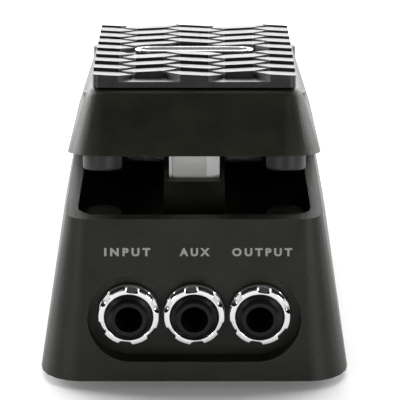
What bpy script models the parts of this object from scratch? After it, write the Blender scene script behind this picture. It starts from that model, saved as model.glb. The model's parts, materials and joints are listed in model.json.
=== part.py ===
"""Small volume pedal: a cast base, a rocking treadle and a band that turns the level control.

Metres, +Z up, toe end (with the jacks) towards -Y, heel end towards +Y. Heights inside the base are
measured from the housing's bottom edge, and heights on the treadle from its pivot axis with the toe down.
"""
import math

import bmesh
import bpy
from mathutils import Matrix, Vector

MM = 0.001

# Clearances
TOUCH = 0.3 * MM          # between pieces that touch
RUNNING = 0.1 * MM        # radial, between a turning shaft and its bore
EMBED = 0.6 * MM          # how deep a feature is rooted before it is joined

# Housing
FOOT_PROUD = 2.0 * MM
BASE_LENGTH = 132.0 * MM
BASE_TOE_WIDTH = 75.2 * MM
BASE_HEEL_WIDTH = 63.8 * MM
BASE_SIDE_DRAFT = math.radians(8.9)
BASE_END_DRAFT = math.radians(10.0)
BASE_CORNER_RADIUS = 9.5 * MM     # at the bottom edge
CORNER_SHRINK = 0.7               # of a wall's inset, taken off the corner radius
LEAST_CORNER_RADIUS = 4.0 * MM    # of a corner's inside too
BASE_WALL = 3.0 * MM
RIM_HEIGHT = 39.6 * MM
DECK_BELOW_RIM = 8.4 * MM
DECK_THICKNESS = 2.5 * MM

# Treadle
TREADLE_TRAVEL = math.radians(14.6)
SKIRT_GAP = 0.8 * MM
SKIRT_DROP = 5.0 * MM
SKIRT_HEIGHT = 16.2 * MM
TREADLE_LENGTH = 114.0 * MM
TREADLE_TOE_WIDTH = 61.6 * MM
TREADLE_HEEL_WIDTH = 57.4 * MM
TREADLE_DRAFT = math.radians(17.0)
TREADLE_CORNER_RADIUS = 9.5 * MM
TREADLE_EDGE_RADIUS = 1.8 * MM
TREADLE_WALL = 2.5 * MM
CROWN_RADIUS = 2.8
CROWN_STEPS = 4
PIVOT_HEIGHT = RIM_HEIGHT + SKIRT_GAP + SKIRT_DROP

# Tread pad
PAD_LENGTH = 103.0 * MM
PAD_TOE_WIDTH = 49.2 * MM
PAD_HEEL_WIDTH = 46.6 * MM
PAD_CORNER_RADIUS = 1.5 * MM
PAD_SLAB = 1.4 * MM
HEX_SIDE = 6.84 * MM
HEX_GAP = 0.74 * MM
HEX_HEIGHT = 1.25 * MM    # at the middle of a hexagon
HEX_TOE_SLOPE = math.radians(3.1)
HEX_SIDE_SLOPE = math.radians(2.8)
HEX_ROWS = 9
BADGE_LENGTH = 29.4 * MM
BADGE_WIDTH = 9.0 * MM
BADGE_THICKNESS = 0.8 * MM
BADGE_Y = 2.0 * MM
BADGE_MARGIN = 0.8 * MM

# Bumpers and their landings
BUMPER_RADIUS = 4.75 * MM
BUMPER_BELOW_SKIRT = 4.6 * MM
BUMPER_BOSS_DROP = 3.0 * MM       # lower end of the bumper's boss, below the pivot axis
BUMPER_Y = 45.0 * MM
BUMPER_STUD_RADIUS = 2.0 * MM
BUMPER_STUD_LENGTH = 4.0 * MM
LANDING_RADIUS = 4.6 * MM
LANDING_GAP = 0.15 * MM

# Pivot
AXLE_RADIUS = 2.5 * MM
BUSH_WALL = 0.8 * MM
BUSH_FLANGE_RADIUS = 4.9 * MM
BUSH_FLANGE = 0.8 * MM
LUG_INNER = 16.5 * MM             # base lugs, outside the treadle's own lugs
LUG_THICKNESS = 3.6 * MM
LUG_RADIUS = 6.6 * MM
LUG_FOOT = 9.0 * MM
HANGER_THICKNESS = 4.5 * MM       # treadle's lugs, hanging from its ceiling
HANGER_RADIUS = 5.6 * MM
HANGER_ROOT = 7.5 * MM
WASHER_THICKNESS = 0.5 * MM
AXLE_HEAD_RADIUS = 4.4 * MM
AXLE_HEAD_LENGTH = 1.8 * MM

# Arm, bands and drum
ARM_RADIUS = 31.5 * MM
ARM_DEPTH = 7.5 * MM
ARM_WIDTH = 12.3 * MM
ARM_END = math.radians(78.0)
ARM_FLANGE = 2.0 * MM
ARM_FLANGE_TOE = 41.0 * MM
ARM_FLANGE_HEEL = 13.0 * MM
BAND_GAP = 0.15 * MM
BAND_THICKNESS = 0.3 * MM
UPPER_BAND = (-5.2 * MM, 2.7 * MM)
LOWER_BAND = (2.95 * MM, 5.9 * MM)
UPPER_BAND_START = math.radians(3.0)
LOWER_BAND_START = math.radians(45.0)
DRUM_RADIUS = 4.5 * MM
DRUM_WIDTH = 12.0 * MM
CONTACT_ANGLE = math.radians(52.0)
CLAMP_THICKNESS = 1.2 * MM

# Guard and slot
GUARD_FRONT = 35.9 * MM
GUARD_HEIGHT = 40.0 * MM
GUARD_WIDTH = 14.8 * MM
GUARD_WALL = 0.9 * MM
SLOT_CLEARANCE = 1.0 * MM

# Level control and bracket
POT_RADIUS = 8.0 * MM
POT_LENGTH = 9.0 * MM
POT_BUSHING_RADIUS = 3.5 * MM
SHAFT_RADIUS = 3.0 * MM
BRACKET_THICKNESS = 1.2 * MM
BRACKET_INNER = 9.0 * MM
BRACKET_HALF_WIDTH = 17.0 * MM
BRACKET_TOE = 32.0 * MM
BRACKET_HEEL = 5.0 * MM
POT_NUT_RADIUS = 5.6 * MM
POT_NUT_THICKNESS = 1.8 * MM

# Jacks
JACK_PITCH = 15.875 * MM
JACK_HEIGHT = 16.0 * MM
JACK_NAMES = ("input", "aux", "output")
JACK_NUT_TURNS = (math.radians(8.0), math.radians(17.0), math.radians(3.0))
POCKET_LENGTH = 51.9 * MM
POCKET_HEIGHT = 21.4 * MM
POCKET_DROP = 0.55 * MM            # pocket's middle, below the jacks'
POCKET_FLOOR = 5.8 * MM           # behind the housing's toe edge
POCKET_WALL = 2.0 * MM
THREAD_RADIUS = 5.75 * MM
NOSE_RADIUS = 4.8 * MM
BORE_RADIUS = 3.35 * MM
NOSE_BEHIND_TOE = 0.4 * MM
JACK_BODY_WIDTH = 14.6 * MM
JACK_BODY_HEIGHT = 15.0 * MM
JACK_BODY_LENGTH = 24.5 * MM
JACK_END_WALL = 1.2 * MM
NUT_RADIUS = 7.5 * MM
NUT_FLANGE = 1.0 * MM
NUT_HEIGHT = 3.6 * MM
NUT_CROWN_RADIUS = 7.35 * MM
NUT_RING_RADIUS = 6.4 * MM        # left between the notches
NUT_NOTCH = 3.5 * MM
NUT_NOTCHES = 6
CONTACT_WIDTH = 2.0 * MM
CONTACT_THICKNESS = 0.5 * MM
CONTACT_FOOT = 3.0 * MM
TIP_CONTACT_INSET = 6.0 * MM      # from the inner end of the jack body
SLEEVE_CONTACT_INSET = 5.0 * MM   # from the outer end of the jack body

# Circuit board
BOARD_THICKNESS = 1.6 * MM
BOARD_HALF_WIDTH = 23.2 * MM
BOARD_LENGTH = 22.5 * MM
BOARD_ABOVE_JACK = 0.6 * MM
CONNECTOR = (7.6 * MM, 5.0 * MM, 1.9 * MM)
LEAD_RADIUS = 0.9 * MM

# Bottom plate, screws and feet
PLATE_THICKNESS = 1.2 * MM
PLATE_MARGIN = 0.4 * MM
SCREW_RADIUS = 1.5 * MM
SCREW_HEAD_RADIUS = 2.8 * MM
SCREW_HEAD_HEIGHT = 1.5 * MM
SCREW_LENGTH = 8.0 * MM
SCREW_BOSS_RADIUS = 3.6 * MM
TOE_SCREW = (27.5 * MM, 54.0 * MM)
HEEL_SCREW = (24.0 * MM, 53.0 * MM)
FOOT_RADIUS = 6.0 * MM
TOE_FOOT = (24.0 * MM, 40.0 * MM)
HEEL_FOOT = (21.0 * MM, 40.0 * MM)
SMALL_SCREW_RADIUS = 1.0 * MM
SMALL_HEAD_RADIUS = 1.9 * MM
SMALL_HEAD_HEIGHT = 1.2 * MM
SMALL_SCREW_LENGTH = 3.2 * MM

CORNER_STEPS = 5
ROUND = 32
SMALL_ROUND = 16
TINY_ROUND = 10
STADIUM_STEPS = 8

# Values that follow from the ones above
DECK_DROP = PIVOT_HEIGHT - RIM_HEIGHT + DECK_BELOW_RIM
TREADLE_TOP = SKIRT_HEIGHT - SKIRT_DROP
TREADLE_CEILING = TREADLE_TOP - TREADLE_WALL
SLAB_BOTTOM = TREADLE_TOP + TOUCH
SLAB_TOP = SLAB_BOTTOM + PAD_SLAB
HEX_HALF_DEPTH = HEX_SIDE * math.sqrt(3) / 2
HEX_COLUMN_PITCH = 1.5 * HEX_SIDE + HEX_GAP * math.cos(math.radians(30))
HEX_ROW_PITCH = 2 * HEX_HALF_DEPTH + HEX_GAP
BUMPER_END = SKIRT_DROP + BUMPER_BELOW_SKIRT
LUG_OUTER = LUG_INNER + LUG_THICKNESS
FLANGE_OUTER = LUG_INNER - TOUCH
HANGER_OUTER = FLANGE_OUTER - BUSH_FLANGE - TOUCH
HANGER_INNER = HANGER_OUTER - HANGER_THICKNESS
BUSH_RADIUS = AXLE_RADIUS + RUNNING + BUSH_WALL
BAND_INNER = ARM_RADIUS + BAND_GAP
BAND_OUTER = BAND_INNER + BAND_THICKNESS
TURN_INNER = DRUM_RADIUS + BAND_GAP
TURN_OUTER = TURN_INNER + BAND_THICKNESS
DRUM_DISTANCE = BAND_OUTER + BAND_GAP + TURN_OUTER
DRUM_Y = -DRUM_DISTANCE * math.cos(CONTACT_ANGLE)
DRUM_HEIGHT = PIVOT_HEIGHT - DRUM_DISTANCE * math.sin(CONTACT_ANGLE)
POCKET_FLOOR_Y = -BASE_LENGTH / 2 + POCKET_FLOOR
JACK_BODY_TOE = POCKET_FLOOR_Y + POCKET_WALL + TOUCH
JACK_BODY_HEEL = JACK_BODY_TOE + JACK_BODY_LENGTH
JACK_NOSE_Y = -BASE_LENGTH / 2 + NOSE_BEHIND_TOE
BOARD_BOTTOM = JACK_HEIGHT + JACK_BODY_HEIGHT / 2 + BOARD_ABOVE_JACK
BOARD_TOE = JACK_BODY_TOE
DECK_UNDERSIDE = PIVOT_HEIGHT - DECK_DROP - DECK_THICKNESS
ALONG_X = Matrix.Rotation(math.pi / 2, 4, "Y")
ALONG_Y = Matrix.Rotation(-math.pi / 2, 4, "X")


# ---------------------------------------------------------------- helpers

def clear_scene():
    for item in list(bpy.data.objects):
        bpy.data.objects.remove(item, do_unlink=True)


def material(name, colour, roughness, metallic):
    made = bpy.data.materials.new(name)
    made.use_nodes = True
    shader = made.node_tree.nodes["Principled BSDF"]
    shader.inputs["Base Color"].default_value = (*colour, 1.0)
    shader.inputs["Roughness"].default_value = roughness
    shader.inputs["Metallic"].default_value = metallic
    return made


def empty(name, location, parent=None, tilt=0.0):
    frame = bpy.data.objects.new(name, None)
    bpy.context.scene.collection.objects.link(frame)
    frame.location = location
    frame.rotation_euler.x = tilt
    frame.parent = parent
    return frame


def piece(name, bm, look, parent, location=(0, 0, 0)):
    """One named solid from a bmesh, smooth where it is round."""
    bmesh.ops.recalc_face_normals(bm, faces=bm.faces)
    mesh = bpy.data.meshes.new(name)
    bm.to_mesh(mesh)
    bm.free()
    mesh.materials.append(look)
    made = bpy.data.objects.new(name, mesh)
    bpy.context.scene.collection.objects.link(made)
    made.location = location
    made.parent = parent
    finish_shading(made)
    return made


def finish_shading(target):
    target.data.shade_smooth()
    target.data.set_sharp_from_angle(angle=math.radians(35))


def combine(target, tool_bm, operation):
    """Joins, cuts or intersects a piece with a tool modelled in the same frame."""
    bmesh.ops.recalc_face_normals(tool_bm, faces=tool_bm.faces)
    mesh = bpy.data.meshes.new("tool")
    tool_bm.to_mesh(mesh)
    tool_bm.free()
    tool = bpy.data.objects.new("tool", mesh)
    bpy.context.scene.collection.objects.link(tool)
    tool.parent = target.parent
    tool.location = target.location
    modifier = target.modifiers.new(operation, "BOOLEAN")
    modifier.operation = operation
    modifier.solver = "EXACT"
    modifier.object = tool
    bpy.context.view_layer.update()
    with bpy.context.temp_override(object=target, active_object=target):
        bpy.ops.object.modifier_apply(modifier=modifier.name)
    bpy.data.objects.remove(tool)
    bpy.data.meshes.remove(mesh)
    finish_shading(target)


def cut(target, tool_bm):
    combine(target, tool_bm, "DIFFERENCE")


def join(target, tool_bm):
    combine(target, tool_bm, "UNION")


def round_corners(points, radius, steps=CORNER_STEPS):
    """A convex counter-clockwise outline with each corner turned into an arc."""
    corners = [Vector(point) for point in points]
    rounded = []
    for index, corner in enumerate(corners):
        before = (corners[index - 1] - corner).normalized()
        after = (corners[(index + 1) % len(corners)] - corner).normalized()
        half = before.angle(after) / 2
        centre = corner + (before + after).normalized() * (radius / math.sin(half))
        start = corner + before * (radius / math.tan(half)) - centre
        for step in range(steps + 1):
            turn = Matrix.Rotation((math.pi - 2 * half) * step / steps, 2)
            rounded.append(centre + turn @ start)
    return rounded


def loft(loops):
    """Closed solid through loops of matching points."""
    bm = bmesh.new()
    rings = [[bm.verts.new(point) for point in loop] for loop in loops]
    count = len(rings[0])
    for low, high in zip(rings, rings[1:]):
        for index in range(count):
            following = (index + 1) % count
            bm.faces.new((low[index], low[following], high[following], high[index]))
    bm.faces.new(rings[0])
    bm.faces.new(rings[-1])
    return bm


def prism(outline, axis, start, end):
    """An outline drawn in (y, z), (x, z) or (x, y), extruded along X, Y or Z."""
    place = {"X": lambda u, v, w: (w, u, v), "Y": lambda u, v, w: (u, w, v),
             "Z": lambda u, v, w: (u, v, w)}[axis]
    return loft([[place(u, v, level) for u, v in outline] for level in (start, end)])


def box(low, high):
    return prism([(low[0], low[1]), (high[0], low[1]), (high[0], high[1]), (low[0], high[1])],
                 "Z", low[2], high[2])


def turned(profile, segments=ROUND, ring=False):
    """A profile of (radius, height) turned about Z, with flat ends, or closed on itself as a ring."""
    bm = bmesh.new()
    verts = [bm.verts.new((radius, 0, height)) for radius, height in profile]
    edges = [bm.edges.new(pair) for pair in zip(verts, verts[1:])]
    if ring:
        edges.append(bm.edges.new((verts[-1], verts[0])))
    bmesh.ops.spin(bm, geom=verts + edges, axis=(0, 0, 1), cent=(0, 0, 0),
                   angle=2 * math.pi, steps=segments, use_merge=True)
    bmesh.ops.remove_doubles(bm, verts=bm.verts, dist=1e-7)
    bmesh.ops.holes_fill(bm, edges=[edge for edge in bm.edges if edge.is_boundary], sides=0)
    return bm


def cylinder(radius, start, end, segments=ROUND):
    return turned([(radius, start), (radius, end)], segments)


def tube(outer, inner, start, end, segments=ROUND):
    return turned([(inner, start), (outer, start), (outer, end), (inner, end)], segments, ring=True)


def moved(bm, offset=(0, 0, 0), turn=None):
    """The same solid, turned and then shifted."""
    if turn is not None:
        bmesh.ops.transform(bm, matrix=turn, verts=bm.verts)
    bmesh.ops.translate(bm, vec=Vector(offset), verts=bm.verts)
    return bm


def stadium(length, width, steps=STADIUM_STEPS):
    """Oblong outline with round ends, about its own centre."""
    reach = length / 2 - width / 2
    points = []
    for side, centre in ((-90, reach), (90, -reach)):
        for step in range(steps + 1):
            angle = math.radians(side + 180 * step / steps)
            points.append((centre + width / 2 * math.cos(angle), width / 2 * math.sin(angle)))
    return points


def arc(radius, start, end, steps):
    """Points on a circle about the pivot, by angle below the toe's direction, as (y, z)."""
    angles = [start + (end - start) * step / steps for step in range(steps + 1)]
    return [(-radius * math.cos(angle), -radius * math.sin(angle)) for angle in angles]


def screw(head_radius, head_height, radius, length, segments=SMALL_ROUND):
    """Domed head below zero, shank above it."""
    edge = head_height * 0.45
    return turned([(head_radius * 0.7, -head_height), (head_radius, -edge), (head_radius, 0),
                   (radius, 0), (radius, length - radius * 0.5), (radius * 0.5, length)], segments)


def crown(y):
    """How far the treadle's top lies below its middle."""
    return y * y / (2 * CROWN_RADIUS)


# ---------------------------------------------------------------- base

def base_outline(height, inset=0.0):
    """Plan outline of the housing at a height, moved inwards by inset."""
    side = height * math.tan(BASE_SIDE_DRAFT) + inset
    end = height * math.tan(BASE_END_DRAFT) + inset
    toe, heel, y = BASE_TOE_WIDTH / 2 - side, BASE_HEEL_WIDTH / 2 - side, BASE_LENGTH / 2 - end
    radius = max(BASE_CORNER_RADIUS - CORNER_SHRINK * side, LEAST_CORNER_RADIUS)
    outline = round_corners([(-toe, -y), (toe, -y), (heel, y), (-heel, y)], radius)
    return [(point.x, point.y, height) for point in outline]


def rocking_line(drop, y_toe, y_heel):
    """Side line this far below the pivot: level towards the toe, tilted by the travel towards the heel."""
    kink = -drop * math.tan(TREADLE_TRAVEL / 2)
    level = PIVOT_HEIGHT - drop
    return [(y_toe, level), (kink, level), (y_heel, level - (y_heel - kink) * math.tan(TREADLE_TRAVEL))]


def housing_slab(drop, upper):
    """Everything above, or below, a rocking line."""
    far = BASE_LENGTH
    line = rocking_line(drop, -far, far)
    edge = 2 * far if upper else -2 * far
    return prism(line + [(far, edge), (-far, edge)], "X", -far, far)


def pocket(grow=0.0, back=0.0):
    outline = stadium(POCKET_LENGTH + 2 * grow, POCKET_HEIGHT + 2 * grow, 2 * STADIUM_STEPS)
    outline = [(x, z + JACK_HEIGHT - POCKET_DROP) for x, z in outline]
    return prism(outline, "Y", -BASE_LENGTH, POCKET_FLOOR_Y + back)


def screw_places():
    places = []
    for (x, y), end in ((TOE_SCREW, -1), (HEEL_SCREW, 1)):
        places += [(-x, end * y), (x, end * y)]
    return places


def boss_bottom():
    return TOUCH + PLATE_THICKNESS + TOUCH


def make_housing(look, frame):
    roof = PIVOT_HEIGHT
    cavity = piece("cavity", loft([base_outline(-BASE_WALL, BASE_WALL), base_outline(roof, BASE_WALL)]),
                   look, frame)
    combine(cavity, housing_slab(DECK_DROP + DECK_THICKNESS, upper=False), "INTERSECT")
    cut(cavity, pocket(POCKET_WALL, POCKET_WALL))
    for x, y in screw_places():
        cut(cavity, moved(cylinder(SCREW_BOSS_RADIUS, boss_bottom(), roof, SMALL_ROUND), (x, y, 0)))
    well = piece("well", loft([base_outline(0, BASE_WALL), base_outline(roof, BASE_WALL)]), look, frame)
    combine(well, housing_slab(DECK_DROP, upper=True), "INTERSECT")

    housing = piece("base_housing", loft([base_outline(0), base_outline(roof)]), look, frame)
    cut(housing, housing_slab(PIVOT_HEIGHT - RIM_HEIGHT, upper=True))
    for hollow in (cavity, well):
        cut(housing, bmesh_of(hollow))
    cut(housing, pocket())
    add_lugs(housing)
    add_landings(housing)
    add_guard(housing)
    drill_housing(housing)
    return housing


def bmesh_of(source):
    """Takes a helper object's shape and removes the object."""
    bm = bmesh.new()
    bm.from_mesh(source.data)
    bpy.data.objects.remove(source)
    return bm


def add_lugs(housing):
    root = rocking_line(DECK_DROP + EMBED, -LUG_FOOT, LUG_FOOT)
    top = [(LUG_RADIUS * math.cos(angle), PIVOT_HEIGHT + LUG_RADIUS * math.sin(angle))
           for angle in (math.radians(-10 + 200 * step / 16) for step in range(17))]
    for side in (-1, 1):
        join(housing, prism(root + top, "X", side * LUG_INNER, side * LUG_OUTER))


def landing_height():
    """Landing's top, measured down from the pivot axis."""
    return BUMPER_END + LANDING_GAP


def bumper_x(y):
    """Bumper centre that clears the skirt's inner face."""
    return treadle_half_width(y, -BUMPER_BOSS_DROP) - skirt_wall() - BUMPER_RADIUS - 0.4 * MM


def add_landings(housing):
    """Posts under the bumpers: upright at the toe, square to the tilted deck at the heel."""
    for end in (-1, 1):
        tilt = Matrix.Rotation(-TREADLE_TRAVEL if end > 0 else 0.0, 4, "X")
        for side in (-1, 1):
            post = cylinder(LANDING_RADIUS, -DECK_DROP - EMBED, -landing_height(), SMALL_ROUND)
            moved(post, (side * bumper_x(end * BUMPER_Y), end * BUMPER_Y, 0))
            join(housing, moved(moved(post, turn=tilt), (0, 0, PIVOT_HEIGHT)))


def arm_reach(radius, height):
    """How far towards the toe a circle about the pivot lies at a height in the base."""
    return math.sqrt(radius ** 2 - (PIVOT_HEIGHT - height) ** 2)


def arm_inner():
    return ARM_RADIUS - ARM_DEPTH


def slot_heel():
    return -arm_reach(arm_inner(), DECK_UNDERSIDE) + SLOT_CLEARANCE


def add_guard(housing):
    """Upright collar round the arm, and the slot through the deck inside it."""
    deck = PIVOT_HEIGHT - DECK_DROP
    inner = GUARD_WIDTH / 2 - GUARD_WALL
    join(housing, box((-GUARD_WIDTH / 2, -GUARD_FRONT, deck - EMBED),
                      (GUARD_WIDTH / 2, slot_heel() + 2 * GUARD_WALL, GUARD_HEIGHT)))
    cut(housing, box((-inner, -GUARD_FRONT + 2 * GUARD_WALL, deck + EMBED),
                     (inner, slot_heel(), PIVOT_HEIGHT)))
    front = -arm_reach(BAND_OUTER, deck) - SLOT_CLEARANCE
    cut(housing, box((-inner, front, DECK_UNDERSIDE - DECK_THICKNESS), (inner, slot_heel(), deck + 2 * EMBED)))


def drill_housing(housing):
    for index in range(3):
        hole = cylinder(THREAD_RADIUS + TOUCH, -BASE_LENGTH, JACK_BODY_TOE + POCKET_WALL)
        cut(housing, moved(moved(hole, turn=ALONG_Y), (jack_x(index), 0, JACK_HEIGHT)))
    axle = cylinder(AXLE_RADIUS + TOUCH, -LUG_OUTER - TOUCH, LUG_OUTER + TOUCH)
    cut(housing, moved(moved(axle, turn=ALONG_X), (0, 0, PIVOT_HEIGHT)))
    for x, y in screw_places():
        pilot = cylinder(SCREW_RADIUS + TOUCH, 0, SCREW_LENGTH + 2 * TOUCH, SMALL_ROUND)
        cut(housing, moved(pilot, (x, y, 0)))
    for x, y in bracket_screw_places():
        pilot = cylinder(SMALL_SCREW_RADIUS + TOUCH, DECK_UNDERSIDE - DECK_THICKNESS,
                         bracket_bottom() + SMALL_SCREW_LENGTH, SMALL_ROUND)
        cut(housing, moved(pilot, (x, y, 0)))


def make_bottom(steel, rubber, screw_steel, frame):
    low, high = TOUCH, TOUCH + PLATE_THICKNESS
    inset = BASE_WALL + PLATE_MARGIN
    plate = piece("bottom_plate", loft([base_outline(low, inset), base_outline(high, inset)]), steel, frame)
    for number, (x, y) in enumerate(screw_places(), start=1):
        cut(plate, moved(cylinder(SCREW_RADIUS + TOUCH, -TOUCH, high + TOUCH, SMALL_ROUND), (x, y, 0)))
        piece(f"bottom_screw_{number}", screw(SCREW_HEAD_RADIUS, SCREW_HEAD_HEIGHT, SCREW_RADIUS,
              SCREW_LENGTH), screw_steel, frame, (x, y, 0))
    number = 0
    for (x, y), end in ((TOE_FOOT, -1), (HEEL_FOOT, 1)):
        for side in (-1, 1):
            number += 1
            profile = [(FOOT_RADIUS - 0.6 * MM, -FOOT_PROUD), (FOOT_RADIUS, 0.6 * MM - FOOT_PROUD),
                       (FOOT_RADIUS, 0)]
            piece(f"rubber_foot_{number}", turned(profile, SMALL_ROUND), rubber, frame,
                  (side * x, end * y, 0))


# ---------------------------------------------------------------- jacks and board

def jack_x(index):
    return (index - 1) * JACK_PITCH


def contact_places():
    """Name, distance along Y and direction of the foot of each jack contact."""
    return (("tip", JACK_BODY_HEEL - TIP_CONTACT_INSET, -1),
            ("sleeve", JACK_BODY_TOE + SLEEVE_CONTACT_INSET, 1))


def contact_profile(y, direction, grow=0.0):
    """Bent strip in side view: a short foot in the roof of the bore and a tail up through the board."""
    foot = JACK_HEIGHT + BORE_RADIUS - 0.7 * MM
    top = BOARD_BOTTOM + BOARD_THICKNESS + TOUCH + grow
    near, far = -grow, CONTACT_THICKNESS + grow
    reach = CONTACT_FOOT + grow
    outline = [(near, foot - grow), (reach, foot - grow), (reach, foot + CONTACT_THICKNESS + grow),
               (far, foot + CONTACT_THICKNESS + grow), (far, top), (near, top)]
    return [(y + direction * u, v) for u, v in outline]


def make_jack(name, index, plastic, metal, frame):
    x = jack_x(index)
    half_width, half_height = JACK_BODY_WIDTH / 2, JACK_BODY_HEIGHT / 2
    body = piece(f"{name}_jack_body", box((x - half_width, JACK_BODY_TOE, JACK_HEIGHT - half_height),
                 (x + half_width, JACK_BODY_HEEL, JACK_HEIGHT + half_height)), plastic, frame)
    step = JACK_NOSE_Y + 1.1 * MM
    neck = turned([(NOSE_RADIUS - 0.5 * MM, JACK_NOSE_Y), (NOSE_RADIUS, JACK_NOSE_Y + 0.5 * MM),
                   (NOSE_RADIUS, step), (THREAD_RADIUS, step + 0.6 * MM),
                   (THREAD_RADIUS, JACK_BODY_TOE + EMBED)])
    join(body, moved(moved(neck, turn=ALONG_Y), (x, 0, JACK_HEIGHT)))
    bore = cylinder(BORE_RADIUS, -BASE_LENGTH, JACK_BODY_HEEL - JACK_END_WALL)
    cut(body, moved(moved(bore, turn=ALONG_Y), (x, 0, JACK_HEIGHT)))
    for label, y, direction in contact_places():
        half = CONTACT_WIDTH / 2
        cut(body, prism(contact_profile(y, direction, TOUCH), "X", x - half - TOUCH, x + half + TOUCH))
        piece(f"{name}_{label}_contact", prism(contact_profile(y, direction), "X", x - half, x + half),
              metal, frame)
    return body


def make_nut(name, index, chrome, frame):
    """Round ring nut with a flange and a crown notched round its outside."""
    bore = THREAD_RADIUS + RUNNING
    ring = turned([(bore, 0), (NUT_RADIUS, 0), (NUT_RADIUS, NUT_FLANGE),
                   (NUT_CROWN_RADIUS, NUT_FLANGE + 0.3 * MM), (NUT_CROWN_RADIUS, NUT_HEIGHT),
                   (bore, NUT_HEIGHT)],
                  ring=True)
    front = POCKET_FLOOR_Y - TOUCH
    towards_toe = Matrix.Rotation(math.pi / 2, 4, "X")
    turn = Matrix.Rotation(JACK_NUT_TURNS[index], 4, "Y") @ towards_toe
    nut = piece(f"{name}_jack_nut", moved(ring, turn=turn), chrome, frame, (jack_x(index), front, JACK_HEIGHT))
    for notch in range(NUT_NOTCHES):
        bar = box((NUT_RING_RADIUS, -NUT_NOTCH / 2, NUT_FLANGE + 0.4 * MM),
                  (NUT_RADIUS * 1.2, NUT_NOTCH / 2, 2 * NUT_HEIGHT))
        spin = Matrix.Rotation(2 * math.pi * notch / NUT_NOTCHES, 4, "Z")
        cut(nut, moved(bar, turn=turn @ spin))
    return nut


def make_board(board_look, plastic, wire, frame):
    top = BOARD_BOTTOM + BOARD_THICKNESS
    heel = BOARD_TOE + BOARD_LENGTH
    board = piece("circuit_board", box((-BOARD_HALF_WIDTH, BOARD_TOE, BOARD_BOTTOM),
                  (BOARD_HALF_WIDTH, heel, top)), board_look, frame)
    for index in range(3):
        for _, y, direction in contact_places():
            low, high = sorted((y - direction * TOUCH, y + direction * (CONTACT_THICKNESS + TOUCH)))
            half = CONTACT_WIDTH / 2 + TOUCH
            cut(board, box((jack_x(index) - half, low, 0), (jack_x(index) + half, high, 2 * top)))
    width, depth, height = CONNECTOR
    right = BOARD_HALF_WIDTH - TOUCH
    piece("board_connector", box((right - width, heel - depth, top + TOUCH),
          (right, heel, top + TOUCH + height)), plastic, frame)
    start = Vector((right - width / 2, heel + TOUCH, top + TOUCH + height / 2))
    pot_end = BRACKET_INNER + BRACKET_THICKNESS + TOUCH + POT_LENGTH + TOUCH
    finish = Vector((pot_end, DRUM_Y, DRUM_HEIGHT))
    make_lead(start, finish, wire, frame)


def make_lead(start, finish, wire, frame):
    """Bundled wires from the board's connector to the back of the control."""
    curve = bpy.data.curves.new("pot_lead", "CURVE")
    curve.dimensions = "3D"
    curve.bevel_depth = LEAD_RADIUS
    curve.bevel_resolution = 2
    curve.use_fill_caps = True
    spline = curve.splines.new("POLY")
    handles = (start, start + Vector((0, 10 * MM, 0)), finish + Vector((8 * MM, 0, 0)), finish)
    count = 16
    spline.points.add(count - 1)
    for index in range(count):
        t = index / (count - 1)
        weights = ((1 - t) ** 3, 3 * t * (1 - t) ** 2, 3 * t * t * (1 - t), t ** 3)
        point = sum((handle * weight for handle, weight in zip(handles, weights)), Vector())
        spline.points[index].co = (*point, 1.0)
    curve.materials.append(wire)
    lead = bpy.data.objects.new("pot_lead", curve)
    bpy.context.scene.collection.objects.link(lead)
    lead.parent = frame


# ---------------------------------------------------------------- level control

def bracket_bottom():
    return DECK_UNDERSIDE - TOUCH - BRACKET_THICKNESS


def bracket_screw_places():
    x = (BRACKET_INNER + BRACKET_THICKNESS + BRACKET_HALF_WIDTH) / 2
    inset = 2 * SMALL_HEAD_RADIUS
    return [(side * x, y) for y in (-BRACKET_TOE + inset, -BRACKET_HEEL - inset) for side in (-1, 1)]


def make_bracket(steel, screw_steel, frame):
    low, high = bracket_bottom(), bracket_bottom() + BRACKET_THICKNESS
    bracket = piece("pot_bracket", box((-BRACKET_HALF_WIDTH, -BRACKET_TOE, low),
                    (BRACKET_HALF_WIDTH, -BRACKET_HEEL, high)), steel, frame)
    reach = SHAFT_RADIUS * 2.2
    ear = [(DRUM_Y + reach, high - EMBED / 2), (DRUM_Y - reach, high - EMBED / 2)]
    ear += [(DRUM_Y + reach * math.cos(angle), DRUM_HEIGHT + reach * math.sin(angle))
            for angle in (math.radians(180 + 180 * step / 12) for step in range(13))]
    for side in (-1, 1):
        join(bracket, prism(ear, "X", side * BRACKET_INNER, side * (BRACKET_INNER + BRACKET_THICKNESS)))
    slot_half = ARM_WIDTH / 2 + SLOT_CLEARANCE
    cut(bracket, box((-slot_half, -arm_reach(BAND_OUTER, high) - SLOT_CLEARANCE, low - high),
                     (slot_half, -arm_reach(arm_inner(), low) + SLOT_CLEARANCE, 2 * high)))
    for radius, side in ((SHAFT_RADIUS + RUNNING, -1), (POT_BUSHING_RADIUS + TOUCH, 1)):
        hole = cylinder(radius, min(0, side * 2 * BRACKET_INNER), max(0, side * 2 * BRACKET_INNER), ROUND)
        cut(bracket, moved(moved(hole, turn=ALONG_X), (0, DRUM_Y, DRUM_HEIGHT)))
    for number, (x, y) in enumerate(bracket_screw_places(), start=1):
        cut(bracket, moved(cylinder(SMALL_SCREW_RADIUS + TOUCH, low - TOUCH, high + TOUCH,
                                    SMALL_ROUND), (x, y, 0)))
        piece(f"bracket_screw_{number}", screw(SMALL_HEAD_RADIUS, SMALL_HEAD_HEIGHT, SMALL_SCREW_RADIUS,
              SMALL_SCREW_LENGTH, TINY_ROUND), screw_steel, frame, (x, y, low - TOUCH))


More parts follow.
